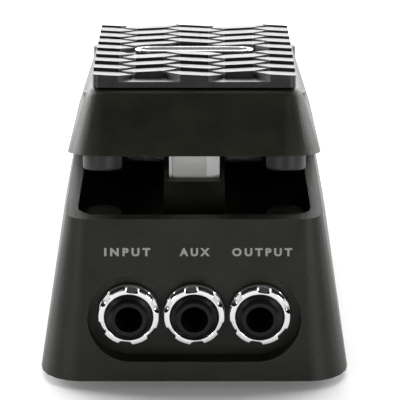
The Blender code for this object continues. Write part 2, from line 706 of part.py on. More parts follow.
def make_control(metal, brass, drum_frame, fixed_frame):
    """Pot body and nut stay with the bracket; shaft, drum, set screw and band turn about the drum axis."""
    ear_outer = BRACKET_INNER + BRACKET_THICKNESS
    face = ear_outer + TOUCH
    nut_outer = BRACKET_INNER - TOUCH
    bushing_end = nut_outer - POT_NUT_THICKNESS - 0.3 * MM
    shaft_end = face + POT_LENGTH / 3
    body = turned([(POT_RADIUS, face + POT_LENGTH), (POT_RADIUS, face), (POT_BUSHING_RADIUS, face),
                   (POT_BUSHING_RADIUS, bushing_end), (SHAFT_RADIUS + RUNNING, bushing_end),
                   (SHAFT_RADIUS + RUNNING, shaft_end + TOUCH)])
    centre = (0, DRUM_Y, DRUM_HEIGHT)
    piece("pot_body", moved(body, turn=ALONG_X), metal, fixed_frame, centre)
    nut = prism([(POT_NUT_RADIUS * math.cos(math.radians(60 * corner)),
                  POT_NUT_RADIUS * math.sin(math.radians(60 * corner))) for corner in range(6)],
                "Z", nut_outer - POT_NUT_THICKNESS, nut_outer)
    pot_nut = piece("pot_nut", moved(nut, turn=ALONG_X), metal, fixed_frame, centre)
    cut(pot_nut, moved(cylinder(POT_BUSHING_RADIUS + RUNNING, 0, 2 * nut_outer), turn=ALONG_X))

    piece("pot_shaft", moved(cylinder(SHAFT_RADIUS, -ear_outer - 0.6 * MM, shaft_end), turn=ALONG_X),
          metal, drum_frame)
    half = DRUM_WIDTH / 2
    drum = piece("band_drum", moved(tube(DRUM_RADIUS, SHAFT_RADIUS + RUNNING, -half, half), turn=ALONG_X),
                 brass, drum_frame)
    hole_x = half - 1.5 * MM
    hole = moved(cylinder(SMALL_SCREW_RADIUS + RUNNING, 0, 2 * DRUM_RADIUS, TINY_ROUND), (hole_x, 0, 0),
                 Matrix.Rotation(math.pi / 2, 4, "X"))
    cut(drum, hole)
    piece("drum_set_screw", moved(cylinder(SMALL_SCREW_RADIUS, SHAFT_RADIUS + RUNNING, DRUM_RADIUS - RUNNING,
                                           TINY_ROUND),
          (hole_x, 0, 0), Matrix.Rotation(math.pi / 2, 4, "X")), metal, drum_frame)
    piece("drive_band_turn", moved(tube(TURN_OUTER, TURN_INNER, UPPER_BAND[0],
                                        hole_x - 2 * SMALL_SCREW_RADIUS),
          turn=ALONG_X), metal, drum_frame)


# ---------------------------------------------------------------- treadle

def treadle_half_width(y, height):
    """Half width of the treadle's outer face at a place along it and a height on the pivot's scale."""
    share = 0.5 + y / TREADLE_LENGTH
    middle = TREADLE_TOE_WIDTH / 2 + (TREADLE_HEEL_WIDTH - TREADLE_TOE_WIDTH) / 2 * share
    return middle - (height + SKIRT_DROP) * math.tan(TREADLE_DRAFT)


def skirt_wall():
    """Skirt's thickness measured level."""
    return TREADLE_WALL / math.cos(TREADLE_DRAFT)


def treadle_outline(height, inset=0.0):
    lean = (height + SKIRT_DROP) * math.tan(TREADLE_DRAFT) + inset
    toe, heel, y = TREADLE_TOE_WIDTH / 2 - lean, TREADLE_HEEL_WIDTH / 2 - lean, TREADLE_LENGTH / 2 - lean
    radius = max(TREADLE_CORNER_RADIUS - lean, LEAST_CORNER_RADIUS)
    outline = round_corners([(-toe, -y), (toe, -y), (heel, y), (-heel, y)], radius)
    return [(point.x, point.y, height) for point in outline]


def crowned(bm, bottom, top):
    """Bends the upper part along the shallow crown, leaving the bottom level."""
    length = max(vert.co.y for vert in bm.verts)
    for step in range(1, CROWN_STEPS):
        place = length * (2 * step / CROWN_STEPS - 1)
        bmesh.ops.bisect_plane(bm, geom=bm.verts[:] + bm.edges[:] + bm.faces[:],
                               plane_co=(0, place, 0), plane_no=(0, 1, 0))
    for vert in bm.verts:
        share = (vert.co.z - bottom) / (top - bottom)
        vert.co.z -= crown(vert.co.y) * share
    return bm


def make_treadle(look, frame):
    loops = [treadle_outline(-SKIRT_DROP)]
    steps = 4
    for step in range(steps + 1):
        angle = math.pi / 2 * step / steps
        height = TREADLE_TOP - TREADLE_EDGE_RADIUS * (1 - math.sin(angle))
        loops.append(treadle_outline(height, TREADLE_EDGE_RADIUS * (1 - math.cos(angle))))
    treadle = piece("treadle", crowned(loft(loops), -SKIRT_DROP, TREADLE_TOP), look, frame)
    wall = skirt_wall()
    cut(treadle, loft([treadle_outline(-SKIRT_DROP - TREADLE_WALL, wall),
                       treadle_outline(TREADLE_CEILING, wall)]))
    for end in (-1, 1):
        for side in (-1, 1):
            place = (side * bumper_x(end * BUMPER_Y), end * BUMPER_Y, 0)
            join(treadle, moved(cylinder(BUMPER_RADIUS, -BUMPER_BOSS_DROP, TREADLE_CEILING + EMBED,
                                         SMALL_ROUND), place))
            cut(treadle, moved(cylinder(BUMPER_STUD_RADIUS + TOUCH, -SKIRT_DROP,
                -BUMPER_BOSS_DROP + BUMPER_STUD_LENGTH + TOUCH, SMALL_ROUND), place))
    hanger = [(HANGER_ROOT, TREADLE_CEILING + EMBED), (-HANGER_ROOT, TREADLE_CEILING + EMBED)]
    hanger += [(HANGER_RADIUS * math.cos(angle), HANGER_RADIUS * math.sin(angle))
               for angle in (math.radians(170 + 200 * step / 12) for step in range(13))]
    for side in (-1, 1):
        join(treadle, prism(hanger, "X", side * HANGER_INNER, side * HANGER_OUTER))
    cut(treadle, moved(cylinder(BUSH_RADIUS + TOUCH, -HANGER_OUTER - TOUCH, HANGER_OUTER + TOUCH), turn=ALONG_X))
    for y in arm_screw_places():
        cut(treadle, moved(cylinder(SMALL_SCREW_RADIUS + TOUCH, 0, arm_screw_base() + SMALL_SCREW_LENGTH + TOUCH,
            SMALL_ROUND), (0, y, 0)))
    return treadle


def hexagon(x, y, side_slope):
    """One leaning tread block: high towards the toe and towards one side."""
    corners = [(x + HEX_SIDE * math.cos(math.radians(60 * corner)),
                y + HEX_SIDE * math.sin(math.radians(60 * corner))) for corner in range(6)]
    base = SLAB_TOP - crown(y)
    low = [(u, v, base - EMBED) for u, v in corners]
    high = [(u, v, base + HEX_HEIGHT - (v - y) * math.tan(HEX_TOE_SLOPE) - (u - x) * math.tan(side_slope))
            for u, v in corners]
    return loft([low, high])


def hexagon_places():
    """Centre and side slope of each block; the badge takes the place of three of them."""
    first = -PAD_LENGTH / 2 + HEX_HALF_DEPTH
    for column in range(-2, 3):
        offset = HEX_ROW_PITCH / 2 if column % 2 else 0.0
        side_slope = -HEX_SIDE_SLOPE if column % 2 else HEX_SIDE_SLOPE
        for row in range(HEX_ROWS - (column % 2)):
            x, y = column * HEX_COLUMN_PITCH, first + offset + row * HEX_ROW_PITCH
            under_badge = abs(x) < BADGE_LENGTH / 2 and abs(y - BADGE_Y) < HEX_ROW_PITCH / 2
            if not under_badge:
                yield x, y, side_slope


def make_pad(rubber, frame):
    toe, heel, y = PAD_TOE_WIDTH / 2, PAD_HEEL_WIDTH / 2, PAD_LENGTH / 2
    outline = round_corners([(-toe, -y), (toe, -y), (heel, y), (-heel, y)], PAD_CORNER_RADIUS, 3)
    slab = prism([(point.x, point.y) for point in outline], "Z", SLAB_BOTTOM, SLAB_TOP)
    pad = piece("tread_pad", crowned(slab, -1.0, SLAB_TOP), rubber, frame)
    blocks = bmesh.new()
    for x, block_y, side_slope in hexagon_places():
        block = hexagon(x, block_y, side_slope)
        mesh = bpy.data.meshes.new("block")
        block.to_mesh(mesh)
        block.free()
        blocks.from_mesh(mesh)
        bpy.data.meshes.remove(mesh)
    tread = piece("blocks", blocks, rubber, frame)
    combine(tread, prism([(point.x, point.y) for point in outline], "Z", 0, 2 * SLAB_TOP), "INTERSECT")
    recess = stadium(BADGE_LENGTH + 2 * BADGE_MARGIN, BADGE_WIDTH + 2 * BADGE_MARGIN)
    cut(tread, prism([(x, v + BADGE_Y) for x, v in recess], "Z", 0, 2 * SLAB_TOP))
    join(pad, bmesh_of(tread))
    return pad


def make_badge(metal, frame):
    bottom = SLAB_TOP + TOUCH
    edge = 0.25 * MM
    loops = []
    for inset, height in ((0, bottom), (0, bottom + BADGE_THICKNESS - edge),
                          (edge, bottom + BADGE_THICKNESS)):
        outline = stadium(BADGE_LENGTH - 2 * inset, BADGE_WIDTH - 2 * inset)
        loops.append([(x, y + BADGE_Y, height) for x, y in outline])
    piece("badge", loft(loops), metal, frame)


def make_bumpers(rubber, frame):
    top = -BUMPER_BOSS_DROP - TOUCH
    edge = 0.6 * MM
    profile = [(BUMPER_RADIUS - edge, -BUMPER_END), (BUMPER_RADIUS, edge - BUMPER_END), (BUMPER_RADIUS, top),
               (BUMPER_STUD_RADIUS, top), (BUMPER_STUD_RADIUS, top + BUMPER_STUD_LENGTH)]
    for label, end in (("toe", -1), ("heel", 1)):
        for hand, side in (("left", -1), ("right", 1)):
            x = side * bumper_x(end * BUMPER_Y)
            piece(f"{label}_bumper_{hand}", turned(profile, SMALL_ROUND), rubber, frame, (x, end * BUMPER_Y, 0))


def arm_screw_base():
    """Underside of the arm's flange."""
    return TREADLE_CEILING - TOUCH - ARM_FLANGE


def arm_screw_places():
    inset = 2 * SMALL_HEAD_RADIUS
    return (-ARM_FLANGE_TOE + inset, -ARM_FLANGE_HEEL - inset / 2)


def make_arm(nylon, metal, screw_steel, frame):
    """Arm with a flange under the treadle, an arc about the pivot, and a band clamped at each end."""
    flange_top = TREADLE_CEILING - TOUCH
    half = ARM_WIDTH / 2
    outline = [(-ARM_FLANGE_TOE, flange_top), (-ARM_FLANGE_TOE, arm_screw_base()),
               (-ARM_RADIUS, arm_screw_base())]
    outline += arc(ARM_RADIUS, 0.0, ARM_END, 28) + arc(arm_inner(), ARM_END, 0.0, 20)
    outline += [(-arm_inner(), arm_screw_base()),
                (-ARM_FLANGE_HEEL, arm_screw_base()), (-ARM_FLANGE_HEEL, flange_top)]
    arm = piece("sector_arm", prism(outline, "X", -half, half), nylon, frame)
    for number, y in enumerate(arm_screw_places(), start=1):
        cut(arm, moved(cylinder(SMALL_SCREW_RADIUS + TOUCH, 0, 2 * TREADLE_TOP, SMALL_ROUND), (0, y, 0)))
        piece(f"arm_screw_{number}", screw(SMALL_HEAD_RADIUS, SMALL_HEAD_HEIGHT, SMALL_SCREW_RADIUS,
              SMALL_SCREW_LENGTH, TINY_ROUND), screw_steel, frame, (0, y, arm_screw_base() - TOUCH))

    ends = ((("upper", UPPER_BAND, UPPER_BAND_START, ARM_END - math.radians(2))),
            (("lower", LOWER_BAND, LOWER_BAND_START, ARM_END)))
    for name, (left, right), start, end in ends:
        strip = arc(BAND_OUTER, start, end, 24) + arc(BAND_INNER, end, start, 24)
        piece(f"drive_band_{name}", prism(strip, "X", left, right), metal, frame)
    make_upper_clamp(arm, metal, screw_steel, frame)
    make_lower_clamp(arm, metal, screw_steel, frame)


def clamp_screw(length):
    return screw(SMALL_HEAD_RADIUS * 0.8, SMALL_HEAD_HEIGHT * 0.7, SMALL_SCREW_RADIUS, length, TINY_ROUND)


def make_upper_clamp(arm, metal, screw_steel, frame):
    """Plate on the arm's front face above the arc."""
    front = -ARM_RADIUS - BAND_GAP
    centre_z = arm_screw_base() / 2
    plate = piece("upper_band_clamp", box((UPPER_BAND[0], front - CLAMP_THICKNESS, TOUCH),
                  (UPPER_BAND[1], front, arm_screw_base() - 2 * TOUCH)), metal, frame)
    hole_radius = SMALL_SCREW_RADIUS + TOUCH
    centre_x = sum(UPPER_BAND) / 2
    depth = ARM_DEPTH * 0.6
    hole = moved(moved(cylinder(hole_radius, front - 2 * CLAMP_THICKNESS, front + depth, TINY_ROUND),
                 turn=ALONG_Y),
                 (centre_x, 0, centre_z))
    cut(plate, hole.copy())
    cut(arm, hole)
    fixing = moved(clamp_screw(depth), turn=ALONG_Y)
    piece("upper_clamp_screw", fixing, screw_steel, frame, (centre_x, front - CLAMP_THICKNESS - TOUCH, centre_z))


def make_lower_clamp(arm, metal, screw_steel, frame):
    """Plate on the arm's lower end face, square to the arc."""
    turn = Matrix.Rotation(ARM_END, 4, "X")
    half = ARM_WIDTH / 2
    middle = ARM_RADIUS - ARM_DEPTH / 2
    plate_bm = box((-half, -ARM_RADIUS, -TOUCH - CLAMP_THICKNESS), (half, -arm_inner() - TOUCH, -TOUCH))
    plate = piece("lower_band_clamp", moved(plate_bm, turn=turn), metal, frame)
    depth = ARM_DEPTH * 0.6
    hole = moved(moved(cylinder(SMALL_SCREW_RADIUS + TOUCH, -3 * CLAMP_THICKNESS, depth, TINY_ROUND),
                 (0, -middle, 0)), turn=turn)
    cut(plate, hole.copy())
    cut(arm, hole)
    fixing = moved(clamp_screw(depth), (0, -middle, -2 * TOUCH - CLAMP_THICKNESS))
    piece("lower_clamp_screw", moved(fixing, turn=turn), screw_steel, frame)


# ---------------------------------------------------------------- pivot

def make_pivot(steel, nylon, base_frame, pivot_frame):
    centre = (0, 0, PIVOT_HEIGHT)
    washer_start = LUG_OUTER + TOUCH
    nut_start = washer_start + WASHER_THICKNESS + TOUCH
    nut_end = nut_start + AXLE_HEAD_LENGTH
    edge = 0.5 * MM
    bolt = turned([(AXLE_HEAD_RADIUS - edge, -nut_end), (AXLE_HEAD_RADIUS, edge - nut_end),
                   (AXLE_HEAD_RADIUS, -nut_start), (AXLE_RADIUS, -nut_start), (AXLE_RADIUS, nut_end)])
    piece("pivot_axle", moved(bolt, turn=ALONG_X), steel, base_frame, centre)
    for hand, side in (("left", -1), ("right", 1)):
        start, end = sorted((side * washer_start, side * (washer_start + WASHER_THICKNESS)))
        piece(f"axle_washer_{hand}", moved(tube(AXLE_HEAD_RADIUS, AXLE_RADIUS + RUNNING, start, end),
                                           turn=ALONG_X),
              steel, base_frame, centre)
        bore = AXLE_RADIUS + RUNNING
        bush = turned([(bore, HANGER_INNER), (BUSH_RADIUS, HANGER_INNER), (BUSH_RADIUS, FLANGE_OUTER - BUSH_FLANGE),
                       (BUSH_FLANGE_RADIUS, FLANGE_OUTER - BUSH_FLANGE), (BUSH_FLANGE_RADIUS, FLANGE_OUTER),
                       (bore, FLANGE_OUTER)], ring=True)
        facing = ALONG_X if side > 0 else Matrix.Rotation(-math.pi / 2, 4, "Y")
        piece(f"axle_bush_{hand}", moved(bush, turn=facing), nylon, pivot_frame)
    corners = [(AXLE_HEAD_RADIUS * math.cos(math.radians(60 * corner)),
                AXLE_HEAD_RADIUS * math.sin(math.radians(60 * corner))) for corner in range(6)]
    nut = piece("axle_nut", moved(prism(corners, "Z", nut_start, nut_end - edge), turn=ALONG_X),
                steel, base_frame, centre)
    cut(nut, moved(cylinder(AXLE_RADIUS + RUNNING, 0, 2 * nut_end), turn=ALONG_X))


def main():
    clear_scene()
    cast = material("cast_black", (0.022, 0.024, 0.020), 0.5, 0.0)
    cast_treadle = material("cast_black_treadle", (0.022, 0.024, 0.020), 0.5, 0.0)
    rubber = material("black_rubber", (0.02, 0.02, 0.02), 0.75, 0.0)
    plastic = material("black_plastic", (0.015, 0.015, 0.015), 0.35, 0.0)
    chrome = material("chrome", (0.85, 0.85, 0.86), 0.08, 1.0)
    steel = material("steel", (0.55, 0.55, 0.56), 0.3, 1.0)
    brass = material("brass", (0.75, 0.58, 0.3), 0.3, 1.0)
    nylon = material("pale_nylon", (0.8, 0.8, 0.78), 0.5, 0.0)
    board = material("board_green", (0.03, 0.16, 0.08), 0.5, 0.0)

    base_frame = empty("base_frame", (0, 0, FOOT_PROUD))
    pivot_frame = empty("pivot_frame", (0, 0, PIVOT_HEIGHT), base_frame, -TREADLE_TRAVEL)
    drum_frame = empty("drum_frame", (0, DRUM_Y, DRUM_HEIGHT), base_frame)
    bpy.context.view_layer.update()

    make_housing(cast, base_frame)
    make_bottom(steel, rubber, steel, base_frame)
    for index, name in enumerate(JACK_NAMES):
        make_jack(name, index, plastic, brass, base_frame)
        make_nut(name, index, chrome, base_frame)
    make_board(board, plastic, rubber, base_frame)
    make_bracket(steel, steel, base_frame)
    make_control(steel, brass, drum_frame, base_frame)
    make_treadle(cast_treadle, pivot_frame)
    make_pad(rubber, pivot_frame)
    make_badge(steel, pivot_frame)
    make_bumpers(rubber, pivot_frame)
    make_arm(nylon, steel, steel, pivot_frame)
    make_pivot(steel, nylon, base_frame, pivot_frame)


main()
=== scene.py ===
"""Small volume pedal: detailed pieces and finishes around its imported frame.

Metres, +Z up, toe end towards -Y.
"""
import json
import math

import bmesh
import bpy
from mathutils import Matrix, Vector


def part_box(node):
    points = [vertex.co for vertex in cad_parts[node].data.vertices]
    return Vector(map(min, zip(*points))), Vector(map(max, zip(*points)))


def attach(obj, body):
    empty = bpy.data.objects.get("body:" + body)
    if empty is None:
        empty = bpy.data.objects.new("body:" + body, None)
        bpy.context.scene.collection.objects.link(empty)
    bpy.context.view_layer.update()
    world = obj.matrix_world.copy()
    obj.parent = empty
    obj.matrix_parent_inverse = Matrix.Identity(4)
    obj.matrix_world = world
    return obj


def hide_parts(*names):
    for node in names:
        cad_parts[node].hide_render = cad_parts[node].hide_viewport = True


bl_info = {
    "name": "Volume Pedal",
    "version": (1, 0, 0),
    "blender": (4, 5, 0),
    "location": "3D View > Sidebar > Pedal",
    "description": "Builds the visible pieces of a small volume pedal with a honeycomb tread and three jacks",
    "category": "Object",
}

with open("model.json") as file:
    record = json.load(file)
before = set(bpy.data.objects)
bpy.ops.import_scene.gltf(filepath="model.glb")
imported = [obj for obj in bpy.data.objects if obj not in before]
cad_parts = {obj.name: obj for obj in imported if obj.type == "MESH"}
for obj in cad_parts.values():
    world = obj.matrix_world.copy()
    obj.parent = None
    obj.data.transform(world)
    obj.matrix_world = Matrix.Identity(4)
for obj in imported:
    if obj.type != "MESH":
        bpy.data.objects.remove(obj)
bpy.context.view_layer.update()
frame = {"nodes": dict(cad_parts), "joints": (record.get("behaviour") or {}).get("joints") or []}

MM = 0.001
JACKS = ("input", "aux", "output")
PIVOT = Vector(next(joint["pos_m"] for joint in frame["joints"] if joint["name"] == "treadle_pivot"))
TILT = -math.radians(max(abs(a) for j in frame["joints"] if j["name"] == "treadle_pivot" for a in j["range_deg"]))
TREADLE_SPACE = Matrix.Translation(PIVOT) @ Matrix.Rotation(TILT, 4, "X")   # pivot at zero, tread level
FACE_TOE = Matrix.Rotation(math.radians(90), 4, "X")                        # an axis along +Z turned to -Y
MERGE = 0.001 * MM
SMOOTH_ANGLE = math.radians(32)
FLAT_ANGLE = math.radians(0.8)    # triangles closer than this are one face

# Nut and socket
NUT_FLANGE = 1.0 * MM
NUT_HEIGHT = 3.6 * MM
NUT_TOP_RADIUS = 7.35 * MM
NUT_RING_RADIUS = 6.4 * MM        # left between the notches
NUT_NOTCHES = 6
NUT_NOTCH_WIDTH = 3.5 * MM
NUT_NOTCH_FLOOR = 0.45 * MM       # above the flange
NUT_NOTCH_CORNER = 0.9 * MM
NUT_BORE = 5.83 * MM
NUT_TURNS = (-37.0, -24.0, -38.0)
THREAD_CREST = 5.75 * MM
THREAD_ROOT = 5.5 * MM
THREAD_PITCH = 0.7 * MM
THREAD_TURNS = 4
THREAD_START = 1.2 * MM           # back from the nut's face

# Bumpers, below the pivot axis
BUMPER_AT = 45.0 * MM
BUMPER_TIP = -9.6 * MM
BUMPER_SEAT = -3.3 * MM
BUMPER_STUD = 2.0 * MM
BUMPER_STUD_TOP = 0.7 * MM
BUMPER_EDGE = 0.7 * MM

# Lettering on the toe face: caption, centre along X, width
CAPTIONS = (("INPUT", -16.2 * MM, 11.15 * MM), ("AUX", 0.1 * MM, 7.35 * MM), ("OUTPUT", 16.4 * MM, 14.5 * MM))
CAPTION_HEIGHT_AT = 33.6 * MM
CAPTION_SPACING = 1.5             # between letters, of the font's own
CAPTION_WEIGHT = 0.046            # added round the strokes, of the font's size
TOE_FACE_LEAN = math.radians(10.0)
BASE_EDGE_HEIGHT = 2.0 * MM

# Camera and stage
LOOK_AT = Vector((0.0, 0.0, 36.0 * MM))
VIEW_DISTANCE = 2.5
VIEW_ELEVATION = math.radians(22.5)
METRES_ACROSS = 0.0988            # width of the view at the look-at point
VIEW_OFFSET = (0.014, -0.129)     # of the view's centre from the look-at point, as shares of that width
SENSOR = 36.0
FAR_CLIP = 50.0
ROOM_LIGHT = 0.1


# ---------------------------------------------------------------- settings

class PedalSizes(bpy.types.PropertyGroup):
    """Sizes of the detail that is added to the frame"""
    shell_edge: bpy.props.FloatProperty(
        name="Casting edge", description="Radius on the edges of the two castings",
        default=0.45 * MM, min=0.05 * MM, max=1.0 * MM, subtype="DISTANCE", unit="LENGTH")
    tread_edge: bpy.props.FloatProperty(
        name="Tread edge", description="Radius on the edges of the tread blocks",
        default=0.16 * MM, min=0.02 * MM, max=0.4 * MM, subtype="DISTANCE", unit="LENGTH")
    small_edge: bpy.props.FloatProperty(
        name="Small part edge", description="Radius on the edges of nuts, screws and clamps",
        default=0.12 * MM, min=0.02 * MM, max=0.3 * MM, subtype="DISTANCE", unit="LENGTH")
    caption_height: bpy.props.FloatProperty(
        name="Lettering height", description="Height of the capitals beside the sockets",
        default=2.05 * MM, min=1.0 * MM, max=4.0 * MM, subtype="DISTANCE", unit="LENGTH")
    caption_relief: bpy.props.FloatProperty(
        name="Lettering thickness", description="Thickness of the printed lettering",
        default=0.06 * MM, min=0.02 * MM, max=0.3 * MM, subtype="DISTANCE", unit="LENGTH")
    badge_rim: bpy.props.FloatProperty(
        name="Badge rim", description="Width of the raised rim around the badge",
        default=0.7 * MM, min=0.2 * MM, max=2.0 * MM, subtype="DISTANCE", unit="LENGTH")


def colour_property(name, description, default):
    return bpy.props.FloatVectorProperty(name=name, description=description, default=default, size=3,
                                         min=0.0, max=1.0, subtype="COLOR")


class PedalColours(bpy.types.PropertyGroup):
    """Colours of the finishes"""
    coat: colour_property("Powder coat", "Coat on both castings", (0.0062, 0.0072, 0.0034))
    coat_worn: colour_property("Worn coat", "Coat where edges are rubbed", (0.022, 0.024, 0.017))
    tread: colour_property("Tread", "Rubber of the tread", (0.0075, 0.0080, 0.0072))
    bumper: colour_property("Bumper", "Rubber of the bumpers", (0.011, 0.011, 0.011))
    lettering: colour_property("Lettering", "Print beside the sockets", (0.22, 0.22, 0.215))
    chrome: colour_property("Chrome", "Plating on the ring nuts", (0.62, 0.62, 0.63))
    socket: colour_property("Socket", "Plastic of the jack sockets", (0.0045, 0.0045, 0.0045))
    arm: colour_property("Arm", "Moulded sector arm", (0.66, 0.66, 0.65))
    badge: colour_property("Badge", "Blank badge", (0.45, 0.46, 0.46))


def sizes():
    return bpy.context.scene.pedal_sizes


def colours():
    return bpy.context.scene.pedal_colours


# ---------------------------------------------------------------- shader groups

def new_group(name, inputs, outputs):
    group = bpy.data.node_groups.new(name, "ShaderNodeTree")
    for label, kind, default in inputs:
        socket = group.interface.new_socket(label, in_out="INPUT", socket_type=kind)
        socket.default_value = default
    for label, kind in outputs:
        group.interface.new_socket(label, in_out="OUTPUT", socket_type=kind)
    return group, group.nodes.new("NodeGroupInput"), group.nodes.new("NodeGroupOutput")


def node(tree, kind, values=(), **settings):
    """New shader node; values fills inputs by name or index, and a socket among them is linked."""
    made = tree.nodes.new(kind)
    for key, value in settings.items():
        setattr(made, key, value)
    for key, value in dict(values).items():
        if isinstance(value, bpy.types.NodeSocket):
            tree.links.new(value, made.inputs[key])
        else:
            made.inputs[key].default_value = value
    return made


def grain_group():
    """Fine surface grain over slow, wide mottling."""
    name = "Surface grain"
    if name in bpy.data.node_groups:
        return bpy.data.node_groups[name]
    group, given, result = new_group(
        name, (("Grain size", "NodeSocketFloat", 0.0003), ("Mottle size", "NodeSocketFloat", 0.012)),
        (("Height", "NodeSocketFloat"), ("Mottle", "NodeSocketFloat")))
    place = node(group, "ShaderNodeTexCoord").outputs["Object"]
    fine = node(group, "ShaderNodeMath", {0: 1.0, 1: given.outputs["Grain size"]}, operation="DIVIDE")
    wide = node(group, "ShaderNodeMath", {0: 1.0, 1: given.outputs["Mottle size"]}, operation="DIVIDE")
    grain = node(group, "ShaderNodeTexNoise",
                 {"Vector": place, "Scale": fine.outputs[0], "Detail": 2.0, "Roughness": 0.55})
    cloud = node(group, "ShaderNodeTexNoise",
                 {"Vector": place, "Scale": wide.outputs[0], "Detail": 4.0, "Roughness": 0.6})
    spread = node(group, "ShaderNodeMapRange",
                  {"Value": cloud.outputs[0], "From Min": 0.3, "From Max": 0.7})
    group.links.new(grain.outputs[0], result.inputs["Height"])
    group.links.new(spread.outputs[0], result.inputs["Mottle"])
    return group


def rubbed_group():
    """Mask of convex and concave edges, broken up so that the wear isn't even."""
    name = "Rubbed edges"
    if name in bpy.data.node_groups:
        return bpy.data.node_groups[name]
    group, given, result = new_group(
        name, (("Reach", "NodeSocketFloat", 0.0005), ("Patch size", "NodeSocketFloat", 0.004)),
        (("Mask", "NodeSocketFloat"),))
    true_normal = node(group, "ShaderNodeNewGeometry").outputs["Normal"]
    rounded = node(group, "ShaderNodeBevel", {"Radius": given.outputs["Reach"]}, samples=4)
    agree = node(group, "ShaderNodeVectorMath", {0: true_normal, 1: rounded.outputs[0]}, operation="DOT_PRODUCT")
    edge = node(group, "ShaderNodeMapRange", {"Value": agree.outputs["Value"], "From Min": 0.99,
                                              "From Max": 0.86})
    place = node(group, "ShaderNodeTexCoord").outputs["Object"]
    patch = node(group, "ShaderNodeMath", {0: 1.0, 1: given.outputs["Patch size"]}, operation="DIVIDE")
    cloud = node(group, "ShaderNodeTexNoise",
                 {"Vector": place, "Scale": patch.outputs[0], "Detail": 5.0, "Roughness": 0.65})
    broken = node(group, "ShaderNodeMapRange", {"Value": cloud.outputs[0], "From Min": 0.38, "From Max": 0.66})
    both = node(group, "ShaderNodeMath", {0: edge.outputs[0], 1: broken.outputs[0]}, operation="MULTIPLY")
    group.links.new(both.outputs[0], result.inputs["Mask"])
    return group


def brushed_group():
    """Fine drawn lines: noise stretched by a different scale along each axis."""
    name = "Drawn lines"
    if name in bpy.data.node_groups:
        return bpy.data.node_groups[name]
    group, given, result = new_group(
        name, (("Stretch", "NodeSocketVector", (400.0, 20000.0, 20000.0)),),
        (("Height", "NodeSocketFloat"), ("Streak", "NodeSocketFloat")))
    place = node(group, "ShaderNodeTexCoord").outputs["Object"]
    scaled = node(group, "ShaderNodeVectorMath", {0: place, 1: given.outputs["Stretch"]}, operation="MULTIPLY")
    lines = node(group, "ShaderNodeTexNoise",
                 {"Vector": scaled.outputs[0], "Scale": 1.0, "Detail": 3.0, "Roughness": 0.6})
    spread = node(group, "ShaderNodeMapRange", {"Value": lines.outputs[0], "From Min": 0.3, "From Max": 0.7})
    group.links.new(lines.outputs[0], result.inputs["Height"])
    group.links.new(spread.outputs[0], result.inputs["Streak"])
    return group


def place_group(tree, group, **values):
    made = tree.nodes.new("ShaderNodeGroup")
    made.node_tree = group
    for key, value in values.items():
        made.inputs[key.replace("_", " ")].default_value = value
    return made


def new_material(name):
    material = bpy.data.materials.new(name)
    material.use_nodes = True
    tree = material.node_tree
    return material, tree, tree.nodes["Principled BSDF"]


def mix_colour(tree, factor, first, second):
    mixed = node(tree, "ShaderNodeMix", {0: factor}, data_type="RGBA")
    for index, value in ((6, first), (7, second)):
        if isinstance(value, bpy.types.NodeSocket):
            tree.links.new(value, mixed.inputs[index])
        else:
            mixed.inputs[index].default_value = (*value, 1.0)
    return mixed.outputs[2]


def spread_range(tree, value, low, high):
    return node(tree, "ShaderNodeMapRange", {"Value": value, "To Min": low, "To Max": high}).outputs[0]


def shade_of(colour, factor):
    return tuple(min(channel * factor, 1.0) for channel in colour)


def moulded(name, colour, roughness, grain_size=0.3 * MM, grain_depth=0.01 * MM, mottle=0.25,
            mottle_size=9.0 * MM, wear=None, reach=0.45 * MM, patch=3.0 * MM, metallic=0.0, specular=0.5):
    """Grained finish with uneven gloss; wear is the colour that shows on rubbed edges."""
    if name in bpy.data.materials:
        return bpy.data.materials[name]
    material, tree, shader = new_material(name)
    grain = place_group(tree, grain_group(), Grain_size=grain_size, Mottle_size=mottle_size)
    base = mix_colour(tree, grain.outputs["Mottle"], shade_of(colour, 1 - mottle), shade_of(colour, 1 + mottle))
    gloss = spread_range(tree, grain.outputs["Mottle"], roughness * 0.92, min(roughness * 1.1, 1.0))
    if wear:
        rubbed = place_group(tree, rubbed_group(), Reach=reach, Patch_size=patch)
        base = mix_colour(tree, rubbed.outputs["Mask"], base, wear)
    bump = node(tree, "ShaderNodeBump", {"Height": grain.outputs["Height"], "Strength": 0.6,
                                         "Distance": grain_depth})
    tree.links.new(base, shader.inputs["Base Color"])
    tree.links.new(gloss, shader.inputs["Roughness"])
    tree.links.new(bump.outputs[0], shader.inputs["Normal"])
    shader.inputs["Metallic"].default_value = metallic
    shader.inputs["Specular IOR Level"].default_value = specular
    return material


def drawn_metal(name, colour, roughness, stretch=(400.0, 20000.0, 20000.0), depth=0.003 * MM, streak=0.15,
                wear=None, reach=0.2 * MM):
    """Plated or rolled metal with fine lines in it; wear is the colour that shows on its edges."""
    if name in bpy.data.materials:
        return bpy.data.materials[name]
    material, tree, shader = new_material(name)
    lines = place_group(tree, brushed_group(), Stretch=stretch)
    cloud = place_group(tree, grain_group(), Grain_size=0.5 * MM, Mottle_size=5.0 * MM)
    base = mix_colour(tree, lines.outputs["Streak"], shade_of(colour, 1 - streak), shade_of(colour, 1 + streak))
    if wear:
        rubbed = place_group(tree, rubbed_group(), Reach=reach, Patch_size=1.5 * MM)
        base = mix_colour(tree, rubbed.outputs["Mask"], base, wear)
    gloss = spread_range(tree, cloud.outputs["Mottle"], roughness * 0.8, roughness * 1.25)
    bump = node(tree, "ShaderNodeBump", {"Height": lines.outputs["Height"], "Strength": 0.5, "Distance": depth})
    tree.links.new(base, shader.inputs["Base Color"])
    tree.links.new(gloss, shader.inputs["Roughness"])
    tree.links.new(bump.outputs[0], shader.inputs["Normal"])
    shader.inputs["Metallic"].default_value = 1.0
    return material


